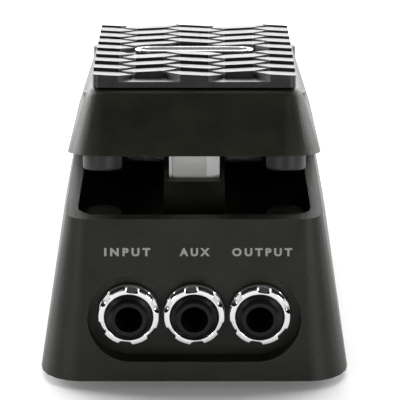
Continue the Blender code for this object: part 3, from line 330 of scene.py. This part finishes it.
def powder_coat():
    return moulded("Black powder coat", colours().coat, 0.42, grain_size=0.42 * MM, grain_depth=0.15 * MM,
                   mottle=0.35, wear=colours().coat_worn, reach=0.5 * MM, patch=3.5 * MM, specular=0.24)


def tread_rubber():
    return moulded("Tread rubber", colours().tread, 0.42, grain_size=0.22 * MM, grain_depth=0.006 * MM,
                   mottle=0.3, mottle_size=6.0 * MM, wear=shade_of(colours().tread, 2.2), reach=0.25 * MM,
                   specular=0.4)


def bumper_rubber():
    return moulded("Bumper rubber", colours().bumper, 0.52, grain_size=0.3 * MM, grain_depth=0.02 * MM,
                   mottle=0.3, wear=shade_of(colours().bumper, 1.6), reach=0.3 * MM, specular=0.3)


def foot_rubber():
    return moulded("Foot rubber", (0.018, 0.018, 0.018), 0.72, grain_size=0.3 * MM, grain_depth=0.02 * MM,
                   mottle=0.3, wear=(0.06, 0.058, 0.055), reach=0.4 * MM)


def nut_chrome():
    return drawn_metal("Bright chrome", colours().chrome, 0.09, stretch=(3000.0, 3000.0, 3000.0),
                       depth=0.0008 * MM, streak=0.04)


def socket_plastic():
    return moulded("Socket plastic", colours().socket, 0.3, grain_size=0.2 * MM, grain_depth=0.003 * MM,
                   mottle=0.2, wear=(0.012, 0.012, 0.012), reach=0.2 * MM, specular=0.14)


def print_ink():
    return moulded("Lettering print", colours().lettering, 0.55, grain_size=0.25 * MM, grain_depth=0.006 * MM,
                   mottle=0.1, mottle_size=2.0 * MM)


def badge_metal():
    return drawn_metal("Badge metal", colours().badge, 0.24, stretch=(600.0, 26000.0, 26000.0),
                       depth=0.002 * MM, streak=0.12, wear=(0.85, 0.86, 0.86), reach=0.3 * MM)


def badge_field():
    return moulded("Badge field", (0.03, 0.03, 0.03), 0.85, grain_size=0.2 * MM, grain_depth=0.01 * MM,
                   mottle=0.2, mottle_size=3.0 * MM, specular=0.1)


def arm_nylon():
    return moulded("Arm nylon", colours().arm, 0.42, grain_size=0.5 * MM, grain_depth=0.006 * MM, mottle=0.05,
                   wear=(0.78, 0.78, 0.76), reach=0.3 * MM)


def bush_nylon():
    return moulded("Bush nylon", (0.72, 0.71, 0.66), 0.4, grain_size=0.4 * MM, grain_depth=0.004 * MM,
                   mottle=0.06)


def band_steel():
    return moulded("Band steel", (0.60, 0.60, 0.59), 0.45, grain_size=0.3 * MM, grain_depth=0.002 * MM,
                   mottle=0.06, metallic=0.3)


def plated_steel():
    return drawn_metal("Zinc plated steel", (0.50, 0.51, 0.53), 0.33, stretch=(900.0, 9000.0, 9000.0),
                       depth=0.003 * MM, streak=0.14, wear=(0.72, 0.72, 0.72))


def nickel():
    return drawn_metal("Nickel plate", (0.60, 0.58, 0.53), 0.26, stretch=(7000.0, 7000.0, 700.0),
                       depth=0.002 * MM, streak=0.1, wear=(0.74, 0.72, 0.68))


def turned_brass():
    return drawn_metal("Turned brass", (0.68, 0.48, 0.20), 0.28, stretch=(16000.0, 700.0, 700.0),
                       depth=0.002 * MM, streak=0.12, wear=(0.80, 0.62, 0.32))


def black_plate():
    return moulded("Black plate", (0.016, 0.016, 0.016), 0.52, grain_size=0.6 * MM, grain_depth=0.012 * MM,
                   mottle=0.25, mottle_size=14.0 * MM, wear=(0.16, 0.16, 0.16), reach=0.35 * MM)


def connector_plastic():
    return moulded("Connector plastic", (0.70, 0.68, 0.60), 0.45, grain_size=0.4 * MM, grain_depth=0.004 * MM,
                   mottle=0.06)


def lead_sleeve():
    return moulded("Lead sleeve", (0.02, 0.02, 0.022), 0.5, grain_size=0.3 * MM, grain_depth=0.01 * MM,
                   mottle=0.2)


def board_laminate():
    """Green mask with copper runs showing through as slightly lighter, raised lines."""
    name = "Board laminate"
    if name in bpy.data.materials:
        return bpy.data.materials[name]
    material, tree, shader = new_material(name)
    grain = place_group(tree, grain_group(), Grain_size=0.25 * MM, Mottle_size=6.0 * MM)
    place = node(tree, "ShaderNodeTexCoord").outputs["Object"]
    runs = node(tree, "ShaderNodeTexBrick",
                {"Vector": place, "Scale": 300.0, "Mortar Size": 0.05, "Color1": (0, 0, 0, 1),
                 "Color2": (0, 0, 0, 1), "Mortar": (1, 1, 1, 1)}).outputs["Fac"]
    base = mix_colour(tree, grain.outputs["Mottle"], (0.010, 0.085, 0.035), (0.014, 0.115, 0.048))
    base = mix_colour(tree, runs, base, (0.05, 0.21, 0.09))
    bump = node(tree, "ShaderNodeBump", {"Height": runs, "Strength": 0.5, "Distance": 0.03 * MM})
    tree.links.new(base, shader.inputs["Base Color"])
    tree.links.new(spread_range(tree, grain.outputs["Mottle"], 0.28, 0.36), shader.inputs["Roughness"])
    tree.links.new(bump.outputs[0], shader.inputs["Normal"])
    return material


# ---------------------------------------------------------------- modelling

def leave_all():
    """Object mode with nothing selected."""
    if bpy.context.object and bpy.context.object.mode != "OBJECT":
        bpy.ops.object.mode_set(mode="OBJECT")
    bpy.ops.object.select_all(action="DESELECT")


def pick(piece):
    leave_all()
    piece.hide_set(False)
    piece.select_set(True)
    bpy.context.view_layer.objects.active = piece
    return piece


def edit(piece, mode="FACE"):
    pick(piece)
    bpy.ops.object.mode_set(mode="EDIT")
    bpy.ops.mesh.select_mode(type=mode)


def mend(piece):
    """Doubles merged and faces turned outwards."""
    edit(piece, "VERT")
    bpy.ops.mesh.select_all(action="SELECT")
    bpy.ops.mesh.remove_doubles(threshold=MERGE)
    bpy.ops.mesh.normals_make_consistent(inside=False)
    leave_all()


def settle(piece):
    """Place, turn and scale put into the mesh."""
    pick(piece)
    bpy.ops.object.transform_apply(location=True, rotation=True, scale=True)
    return piece


def put(piece, matrix):
    piece.matrix_world = matrix @ piece.matrix_world
    return settle(piece)


def apply_modifier(piece, kind, **values):
    modifier = piece.modifiers.new(kind.title(), kind)
    for key, value in values.items():
        setattr(modifier, key, value)
    pick(piece)
    bpy.ops.object.modifier_apply(modifier=modifier.name)


def soften(piece, width, segments=2, angle=28.0):
    """Small radius on every edge that turns more than the angle, then smooth shading held flat on flats."""
    apply_modifier(piece, "BEVEL", width=width, segments=segments, limit_method="ANGLE",
                   angle_limit=math.radians(angle), use_clamp_overlap=True, profile=0.5)
    shade(piece)


def shade(piece):
    pick(piece)
    bpy.ops.object.shade_smooth_by_angle(angle=SMOOTH_ANGLE)
    apply_modifier(piece, "WEIGHTED_NORMAL", keep_sharp=True, weight=80)


def finish_piece(piece, material, body, slot, *nodes):
    piece.data.materials.clear()
    piece.data.materials.append(material)
    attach(piece, body)
    if nodes:
        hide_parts(*nodes)
    return piece


def copy_of_node(name, source):
    """New piece that starts as a CAD node's shape, its triangles merged back into faces."""
    original = frame["nodes"][source]
    mesh = original.data.copy()
    mesh.transform(original.matrix_world)
    piece = bpy.data.objects.new(name, mesh)
    bpy.context.scene.collection.objects.link(piece)
    edit(piece, "VERT")
    bpy.ops.mesh.customdata_custom_splitnormals_clear()
    bpy.ops.mesh.select_all(action="SELECT")
    bpy.ops.mesh.remove_doubles(threshold=MERGE)
    bpy.ops.mesh.dissolve_limited(angle_limit=FLAT_ANGLE)
    leave_all()
    return piece


def copy_piece(piece, name, matrix):
    """Copy with its own mesh, moved by the matrix."""
    pick(piece)
    bpy.ops.object.duplicate(linked=False)
    made = bpy.context.object
    made.name = name
    return put(made, matrix)


def turned(name, profile, steps, closed=False):
    """Solid of revolution about Z from (radius, height) points; closed joins the last point to the first."""
    leave_all()
    radius, height = profile[0]
    bpy.ops.mesh.primitive_circle_add(vertices=steps, radius=radius, location=(0, 0, height),
                                      fill_type="NOTHING" if closed else "NGON")
    piece = bpy.context.object
    piece.name = name
    settle(piece)
    edit(piece, "EDGE" if closed else "FACE")
    bpy.ops.mesh.select_all(action="SELECT")
    points = list(profile) + ([profile[0]] if closed else [])
    for (old_radius, old_height), (new_radius, new_height) in zip(points, points[1:]):
        factor = new_radius / old_radius
        bpy.ops.mesh.extrude_region_move(TRANSFORM_OT_translate={"value": (0, 0, new_height - old_height)})
        bpy.ops.transform.resize(value=(factor, factor, 1), center_override=(0, 0, new_height))
    leave_all()
    mend(piece)
    return piece


def fillet(centre, radius, start, end, steps=5):
    """Points of an arc in a profile, angles in degrees from the outward direction."""
    return [(centre[0] + radius * math.cos(math.radians(start + (end - start) * step / steps)),
             centre[1] + radius * math.sin(math.radians(start + (end - start) * step / steps)))
            for step in range(steps + 1)]


def subtract(piece, cutter):
    apply_modifier(piece, "BOOLEAN", operation="DIFFERENCE", solver="EXACT", object=cutter)
    bpy.data.objects.remove(cutter)


def box_centre(name):
    low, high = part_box(name)
    return (Vector(low) + Vector(high)) / 2


# ---------------------------------------------------------------- pieces

class PEDAL_OT_castings(bpy.types.Operator):
    """Base and treadle castings, with rounded edges and a textured powder coat"""
    bl_idname = "pedal.castings"
    bl_label = "Castings"

    def execute(self, context):
        for name, source, body, slot in (("base_casting", "base_housing", "base", "cast_black"),
                                         ("treadle_casting", "treadle", "treadle_body", "cast_black_treadle")):
            piece = copy_of_node(name, source)
            soften(piece, sizes().shell_edge, segments=3)
            finish_piece(piece, powder_coat(), body, slot, source)
        return {"FINISHED"}


class PEDAL_OT_tread(bpy.types.Operator):
    """Honeycomb rubber tread, each block with its softened rim"""
    bl_idname = "pedal.tread"
    bl_label = "Tread"

    def execute(self, context):
        piece = copy_of_node("honeycomb_tread", "tread_pad")
        soften(piece, sizes().tread_edge, segments=2, angle=35.0)
        finish_piece(piece, tread_rubber(), "treadle_body", "tread_rubber", "tread_pad")
        return {"FINISHED"}


class PEDAL_OT_badge(bpy.types.Operator):
    """Blank oblong badge with a raised rim around a sunk field"""
    bl_idname = "pedal.badge"
    bl_label = "Badge"

    def execute(self, context):
        piece = copy_of_node("blank_badge", "badge")
        up = TREADLE_SPACE.to_3x3() @ Vector((0, 0, 1))
        edit(piece)
        bpy.ops.mesh.select_all(action="DESELECT")
        mesh = bmesh.from_edit_mesh(piece.data)
        top = max(mesh.faces, key=lambda face: face.calc_center_median().dot(up) + face.normal.dot(up))
        top.select_set(True)
        bmesh.update_edit_mesh(piece.data)
        bpy.ops.mesh.inset(thickness=sizes().badge_rim, depth=0)
        bpy.ops.mesh.inset(thickness=0.15 * MM, depth=-0.22 * MM)
        field = [face.index for face in bmesh.from_edit_mesh(piece.data).faces if face.select]
        leave_all()
        finish_piece(piece, badge_metal(), "treadle_body", "badge_metal", "badge")
        piece.data.materials.append(badge_field())
        for index in field:
            piece.data.polygons[index].material_index = 1
        soften(piece, 0.06 * MM, segments=2)
        return {"FINISHED"}


class PEDAL_OT_bumpers(bpy.types.Operator):
    """Four round rubber bumpers under the treadle's ends"""
    bl_idname = "pedal.bumpers"
    bl_label = "Bumpers"

    def execute(self, context):
        low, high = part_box("toe_bumper_left")
        radius = (high[0] - low[0]) / 2
        profile = [(0.3 * radius, BUMPER_TIP + 0.12 * MM), (0.45 * radius, BUMPER_TIP)]
        profile += fillet((radius - BUMPER_EDGE, BUMPER_TIP + BUMPER_EDGE), BUMPER_EDGE, -90, 0)
        profile += [(radius, BUMPER_SEAT - 1.1 * MM), (radius - 0.18 * MM, BUMPER_SEAT - 0.95 * MM),
                    (radius - 0.18 * MM, BUMPER_SEAT - 0.75 * MM), (radius, BUMPER_SEAT - 0.6 * MM)]
        profile += fillet((radius - 0.2 * MM, BUMPER_SEAT - 0.2 * MM), 0.2 * MM, 0, 90, 3)
        profile += [(BUMPER_STUD, BUMPER_SEAT), (BUMPER_STUD, BUMPER_STUD_TOP - 0.4 * MM),
                    (BUMPER_STUD - 0.4 * MM, BUMPER_STUD_TOP)]
        pattern = turned("bumper_pattern", profile, 72)
        shade(pattern)
        for end, way in (("toe", -1), ("heel", 1)):
            for hand in ("left", "right"):
                source = f"{end}_bumper_{hand}"
                place = Matrix.Translation((box_centre(source).x, way * BUMPER_AT, 0))
                piece = copy_piece(pattern, f"bumper_{end}_{hand}", TREADLE_SPACE @ place)
                finish_piece(piece, bumper_rubber(), "treadle_body", "bumper_rubber", source)
        bpy.data.objects.remove(pattern)
        return {"FINISHED"}


class PEDAL_OT_ring_nuts(bpy.types.Operator):
    """Chrome ring nuts with a round flange and a crown notched round its outside"""
    bl_idname = "pedal.ring_nuts"
    bl_label = "Ring nuts"

    def execute(self, context):
        low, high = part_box("input_jack_nut")
        outer = (high[0] - low[0]) / 2
        profile = [(NUT_BORE, 0.15 * MM), (NUT_BORE + 0.15 * MM, 0), (outer - 0.2 * MM, 0)]
        profile += fillet((outer - 0.35 * MM, 0.35 * MM), 0.35 * MM, -60, 0, 3)
        profile += fillet((outer - 0.4 * MM, NUT_FLANGE - 0.4 * MM), 0.4 * MM, 0, 80, 4)
        profile += [(NUT_TOP_RADIUS - 0.15 * MM, NUT_FLANGE + 0.12 * MM)]
        profile += fillet((NUT_TOP_RADIUS - 0.3 * MM, NUT_HEIGHT - 0.3 * MM), 0.3 * MM, 0, 90, 4)
        profile += [(NUT_BORE + 0.2 * MM, NUT_HEIGHT), (NUT_BORE, NUT_HEIGHT - 0.2 * MM)]
        pattern = turned("ring_nut_pattern", profile, 96, closed=True)
        for notch in range(NUT_NOTCHES):
            leave_all()
            bpy.ops.mesh.primitive_cube_add(
                size=1, location=(NUT_RING_RADIUS + outer / 2, 0, NUT_FLANGE + NUT_NOTCH_FLOOR + NUT_HEIGHT / 2))
            cutter = bpy.context.object
            cutter.scale = (outer, NUT_NOTCH_WIDTH, NUT_HEIGHT)
            settle(cutter)
            edit(cutter, "EDGE")
            bpy.ops.mesh.select_all(action="DESELECT")
            mesh = bmesh.from_edit_mesh(cutter.data)
            for side in mesh.edges:
                inner = all(vert.co.x < NUT_RING_RADIUS + MERGE for vert in side.verts)
                side.select_set(inner and abs(side.verts[0].co.z - side.verts[1].co.z) > MERGE)
            bmesh.update_edit_mesh(cutter.data)
            bpy.ops.mesh.bevel(offset=NUT_NOTCH_CORNER, segments=6, affect="EDGES")
            leave_all()
            put(cutter, Matrix.Rotation(math.tau * notch / NUT_NOTCHES, 4, "Z"))
            subtract(pattern, cutter)
        soften(pattern, sizes().small_edge, segments=2, angle=40.0)
        for name, turn in zip(JACKS, NUT_TURNS):
            low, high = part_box(f"{name}_jack_nut")
            at = Vector(((low[0] + high[0]) / 2, high[1], (low[2] + high[2]) / 2))
            matrix = Matrix.Translation(at) @ FACE_TOE @ Matrix.Rotation(math.radians(turn), 4, "Z")
            piece = copy_piece(pattern, f"ring_nut_{name}", matrix)
            finish_piece(piece, nut_chrome(), "base", "nut_chrome", f"{name}_jack_nut")
        bpy.data.objects.remove(pattern)
        return {"FINISHED"}


class PEDAL_OT_sockets(bpy.types.Operator):
    """Jack sockets with thread rings cut round their bushings"""
    bl_idname = "pedal.sockets"
    bl_label = "Sockets"

    def execute(self, context):
        for name in JACKS:
            source = f"{name}_jack_body"
            piece = copy_of_node(f"socket_{name}", source)
            nut_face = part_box(f"{name}_jack_nut")[0][1]
            centre = box_centre(f"{name}_jack_nut")
            for ring in range(THREAD_TURNS):
                level = (ring + 0.4) * THREAD_PITCH
                mouth = THREAD_CREST + 0.1 * MM
                groove = turned("groove", [(THREAD_ROOT, level + 0.05 * MM), (mouth, level - 0.22 * MM),
                                           (mouth, level + 0.32 * MM)], 72, closed=True)
                put(groove, Matrix.Translation((centre.x, nut_face + THREAD_START, centre.z)) @ FACE_TOE)
                subtract(piece, groove)
            soften(piece, sizes().small_edge, segments=2, angle=50.0)
            finish_piece(piece, socket_plastic(), "base", "jack_plastic", source)
        return {"FINISHED"}


class PEDAL_OT_lettering(bpy.types.Operator):
    """Plain captions printed on the toe face above the sockets"""
    bl_idname = "pedal.lettering"
    bl_label = "Lettering"

    def execute(self, context):
        rise = CAPTION_HEIGHT_AT - BASE_EDGE_HEIGHT
        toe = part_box("base_housing")[0][1] + rise * math.tan(TOE_FACE_LEAN)
        for caption, x, width in CAPTIONS:
            leave_all()
            bpy.ops.object.text_add(location=(0, 0, 0))
            words = bpy.context.object
            words.data.body = caption
            words.data.align_x, words.data.align_y = "CENTER", "CENTER"
            words.data.space_character = CAPTION_SPACING
            words.data.offset = CAPTION_WEIGHT
            words.data.extrude = 0.02
            words.data.resolution_u = 6
            bpy.ops.object.convert(target="MESH")
            piece = bpy.context.object
            piece.name = f"caption_{caption.lower()}"
            flat = [vert.co for vert in piece.data.vertices]
            low = Vector([min(co[axis] for co in flat) for axis in range(3)])
            high = Vector([max(co[axis] for co in flat) for axis in range(3)])
            size = high - low
            scale = Matrix.Diagonal((width / size.x, sizes().caption_height / size.y,
                                     sizes().caption_relief / size.z, 1))
            lean = Matrix.Rotation(math.radians(90) - TOE_FACE_LEAN, 4, "X")
            seat = Matrix.Translation((x, toe, CAPTION_HEIGHT_AT)) @ lean
            put(piece, seat @ scale @ Matrix.Translation(-(low + high) / 2))
            mend(piece)
            finish_piece(piece, print_ink(), "base", "connector_plastic")
        return {"FINISHED"}


class PEDAL_OT_feet(bpy.types.Operator):
    """Round rubber feet with a dished underside"""
    bl_idname = "pedal.feet"
    bl_label = "Feet"

    def execute(self, context):
        low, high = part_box("rubber_foot_1")
        radius, height = (high[0] - low[0]) / 2, high[2] - low[2]
        profile = [(0.35 * radius, 0.35 * MM), (0.62 * radius, 0.25 * MM), (0.7 * radius, 0)]
        profile += fillet((radius - 0.5 * MM, 0.5 * MM), 0.45 * MM, -90, -5)
        profile += [(radius, height - 0.15 * MM), (radius - 0.1 * MM, height)]
        pattern = turned("foot_pattern", profile, 64)
        shade(pattern)
        for number in range(1, 5):
            source = f"rubber_foot_{number}"
            centre = box_centre(source)
            piece = copy_piece(pattern, f"foot_{number}", Matrix.Translation((centre.x, centre.y, 0)))
            finish_piece(piece, foot_rubber(), "base", "foot_rubber", source)
        bpy.data.objects.remove(pattern)
        return {"FINISHED"}


class PEDAL_OT_plate_screws(bpy.types.Operator):
    """Domed screws with a cross recess that hold the bottom plate"""
    bl_idname = "pedal.plate_screws"
    bl_label = "Plate screws"

    def execute(self, context):
        low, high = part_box("bottom_screw_1")
        radius, bottom, top = (high[0] - low[0]) / 2, low[2], high[2]
        head, shank, core = 1.5 * MM, 1.5 * MM, 1.28 * MM
        profile = [(0.2 * radius, bottom), (0.55 * radius, bottom + 0.12 * MM),
                   (0.84 * radius, bottom + 0.42 * MM), (radius, bottom + 0.85 * MM),
                   (radius, bottom + head - 0.1 * MM), (radius - 0.1 * MM, bottom + head), (shank, bottom + head)]
        turn_height = 0.6 * MM
        level = bottom + head + turn_height
        while level + turn_height < top - shank:
            profile += [(shank, level), (core, level + 0.3 * turn_height)]
            level += turn_height
        profile += [(core, top - 0.8 * MM), (0.4 * MM, top)]
        pattern = turned("screw_pattern", profile, 40)
        for turn in (0, 90):
            leave_all()
            bpy.ops.mesh.primitive_cube_add(size=1, location=(0, 0, bottom))
            cutter = bpy.context.object
            cutter.scale = (1.15 * radius, 0.55 * MM, 1.7 * MM)
            settle(cutter)
            edit(cutter, "VERT")
            bpy.ops.mesh.select_all(action="DESELECT")
            mesh = bmesh.from_edit_mesh(cutter.data)
            for vert in mesh.verts:
                vert.select_set(vert.co.z > bottom)
            bmesh.update_edit_mesh(cutter.data)
            bpy.ops.transform.resize(value=(0.55, 0.7, 1), center_override=(0, 0, bottom))
            leave_all()
            put(cutter, Matrix.Rotation(math.radians(turn), 4, "Z"))
            subtract(pattern, cutter)
        soften(pattern, 0.05 * MM, segments=1, angle=40.0)
        for number in range(1, 5):
            source = f"bottom_screw_{number}"
            centre = box_centre(source)
            matrix = Matrix.Translation((centre.x, centre.y, 0)) @ Matrix.Rotation(0.7 * number, 4, "Z")
            piece = copy_piece(pattern, f"plate_screw_{number}", matrix)
            finish_piece(piece, plated_steel(), "base", "fixing_steel", source)
        bpy.data.objects.remove(pattern)
        return {"FINISHED"}


class PEDAL_OT_small_parts(bpy.types.Operator):
    """Softened plates, clamps, arm and control, each with its own finish"""
    bl_idname = "pedal.small_parts"
    bl_label = "Small parts"

    def execute(self, context):
        softened = (
            ("cover_plate", "bottom_plate", black_plate, "base", "plate_steel", 0.2 * MM),
            ("sector", "sector_arm", arm_nylon, "treadle_body", "arm_nylon", 0.25 * MM),
            ("control_bracket", "pot_bracket", plated_steel, "base", "bracket_steel", 0.15 * MM),
            ("control_case", "pot_body", nickel, "base", "control_steel", 0.3 * MM),
            ("control_drum", "band_drum", turned_brass, "control_rotor", "drum_brass", 0.12 * MM),
            ("clamp_upper", "upper_band_clamp", plated_steel, "treadle_body", "bracket_steel", 0.12 * MM),
            ("clamp_lower", "lower_band_clamp", plated_steel, "treadle_body", "bracket_steel", 0.12 * MM),
            ("jack_board", "circuit_board", board_laminate, "base", "board_laminate", 0.08 * MM),
            ("board_plug", "board_connector", connector_plastic, "base", "connector_plastic", 0.12 * MM),
        )
        for name, source, look, body, slot, edge in softened:
            piece = copy_of_node(name, source)
            soften(piece, edge, segments=2, angle=35.0)
            finish_piece(piece, look(), body, slot, source)
        return {"FINISHED"}


class PEDAL_OT_node_finishes(bpy.types.Operator):
    """Finishes for the frame's own pieces that keep their shape"""
    bl_idname = "pedal.node_finishes"
    bl_label = "Frame finishes"

    def execute(self, context):
        looks = (
            (("_contact",), turned_brass), (("drive_band",), band_steel), (("axle_bush",), bush_nylon),
            (("pot_lead",), lead_sleeve), (("pot_shaft", "pot_nut", "pivot_axle"), nickel),
            (("screw", "axle_nut", "axle_washer"), plated_steel))
        for name, piece in frame["nodes"].items():
            if piece.hide_render:
                continue
            look = next((made for words, made in looks if any(word in name for word in words)), None)
            if look is None:
                raise RuntimeError(f"no finish for {name}")
            piece.data.materials.clear()
            piece.data.materials.append(look())
        return {"FINISHED"}


class PEDAL_OT_stage(bpy.types.Operator):
    """Pale floor, soft lights and the camera"""
    bl_idname = "pedal.stage"
    bl_label = "Stage"

    def execute(self, context):
        leave_all()
        bpy.ops.mesh.primitive_plane_add(size=2, location=(0, 1.0, 0))
        floor = bpy.context.object
        floor.name = "floor"
        floor.scale = (4.0, 3.0, 1)
        settle(floor)
        floor_look = moulded("Pale floor", (0.86, 0.86, 0.86), 0.75, grain_size=2 * MM, grain_depth=0.01 * MM,
                             mottle=0.01, mottle_size=80 * MM, specular=0.15)
        floor.data.materials.append(floor_look)

        lights = (
            # name, place, aimed at, width, height, watts
            ("Overhead", (0.0, 1.1, 1.8), (0, 0.2, 0), 2.6, 1.6, 62.0),
            ("Left", (-1.5, 0.9, 0.5), (0, 0, 0.03), 1.2, 0.9, 52.0),
            ("Right", (1.6, 0.9, 0.5), (0, 0, 0.03), 1.2, 0.9, 32.0),
            ("Back", (0.0, 2.4, 0.55), (0, 0, 0.05), 4.5, 1.1, 95.0),
            ("Front left", (-1.38, -1.90, 0.55), (0, 0, 0.04), 0.5, 0.5, 15.0),
            ("Front right", (1.38, -1.90, 0.55), (0, 0, 0.04), 0.5, 0.5, 22.0),
        )
        for name, place, aim, width, height, watts in lights:
            leave_all()
            bpy.ops.object.light_add(type="AREA", location=place)
            lamp = bpy.context.object
            lamp.name = f"Light {name.lower()}"
            lamp.data.shape = "RECTANGLE"
            lamp.data.size, lamp.data.size_y, lamp.data.energy = width, height, watts
            lamp.rotation_euler = (Vector(aim) - Vector(place)).to_track_quat("-Z", "Y").to_euler()

        world = bpy.data.worlds.new("Pale room")
        world.use_nodes = True
        world.node_tree.nodes["Background"].inputs["Color"].default_value = (1, 1, 1, 1)
        world.node_tree.nodes["Background"].inputs["Strength"].default_value = ROOM_LIGHT
        context.scene.world = world
        context.scene.view_settings.view_transform = "Standard"

        forward = Vector((0, math.cos(VIEW_ELEVATION), -math.sin(VIEW_ELEVATION)))
        up = Vector((0, math.sin(VIEW_ELEVATION), math.cos(VIEW_ELEVATION)))
        aside, rise = VIEW_OFFSET
        centre = LOOK_AT + METRES_ACROSS * (aside * Vector((1, 0, 0)) + rise * up)
        bpy.ops.object.camera_add(location=centre - VIEW_DISTANCE * forward,
                                  rotation=(math.radians(90) - VIEW_ELEVATION, 0, 0))
        camera = bpy.context.object
        camera.data.sensor_width = SENSOR
        camera.data.lens = SENSOR * VIEW_DISTANCE / METRES_ACROSS
        camera.data.clip_end = FAR_CLIP
        context.scene.camera = camera
        return {"FINISHED"}


class PEDAL_PT_panel(bpy.types.Panel):
    """Sizes, colours and the steps that build the pedal"""
    bl_idname = "PEDAL_PT_panel"
    bl_label = "Volume Pedal"
    bl_space_type = "VIEW_3D"
    bl_region_type = "UI"
    bl_category = "Pedal"

    def draw(self, context):
        for group in (context.scene.pedal_sizes, context.scene.pedal_colours):
            column = self.layout.column(align=True)
            for name in group.__annotations__:
                column.prop(group, name)
        column = self.layout.column(align=True)
        for step in STEPS:
            column.operator(step.bl_idname)


STEPS = (PEDAL_OT_castings, PEDAL_OT_tread, PEDAL_OT_badge, PEDAL_OT_bumpers, PEDAL_OT_ring_nuts,
         PEDAL_OT_sockets, PEDAL_OT_lettering, PEDAL_OT_feet, PEDAL_OT_plate_screws, PEDAL_OT_small_parts,
         PEDAL_OT_node_finishes, PEDAL_OT_stage)
CLASSES = (PedalSizes, PedalColours, *STEPS, PEDAL_PT_panel)


def register():
    for made in CLASSES:
        bpy.utils.register_class(made)
    bpy.types.Scene.pedal_sizes = bpy.props.PointerProperty(type=PedalSizes)
    bpy.types.Scene.pedal_colours = bpy.props.PointerProperty(type=PedalColours)


def unregister():
    del bpy.types.Scene.pedal_colours
    del bpy.types.Scene.pedal_sizes
    for made in reversed(CLASSES):
        bpy.utils.unregister_class(made)


def main():
    register()
    for step in STEPS:
        group, name = step.bl_idname.split(".")
        getattr(getattr(bpy.ops, group), name)()


if __name__ == "__main__":
    main()
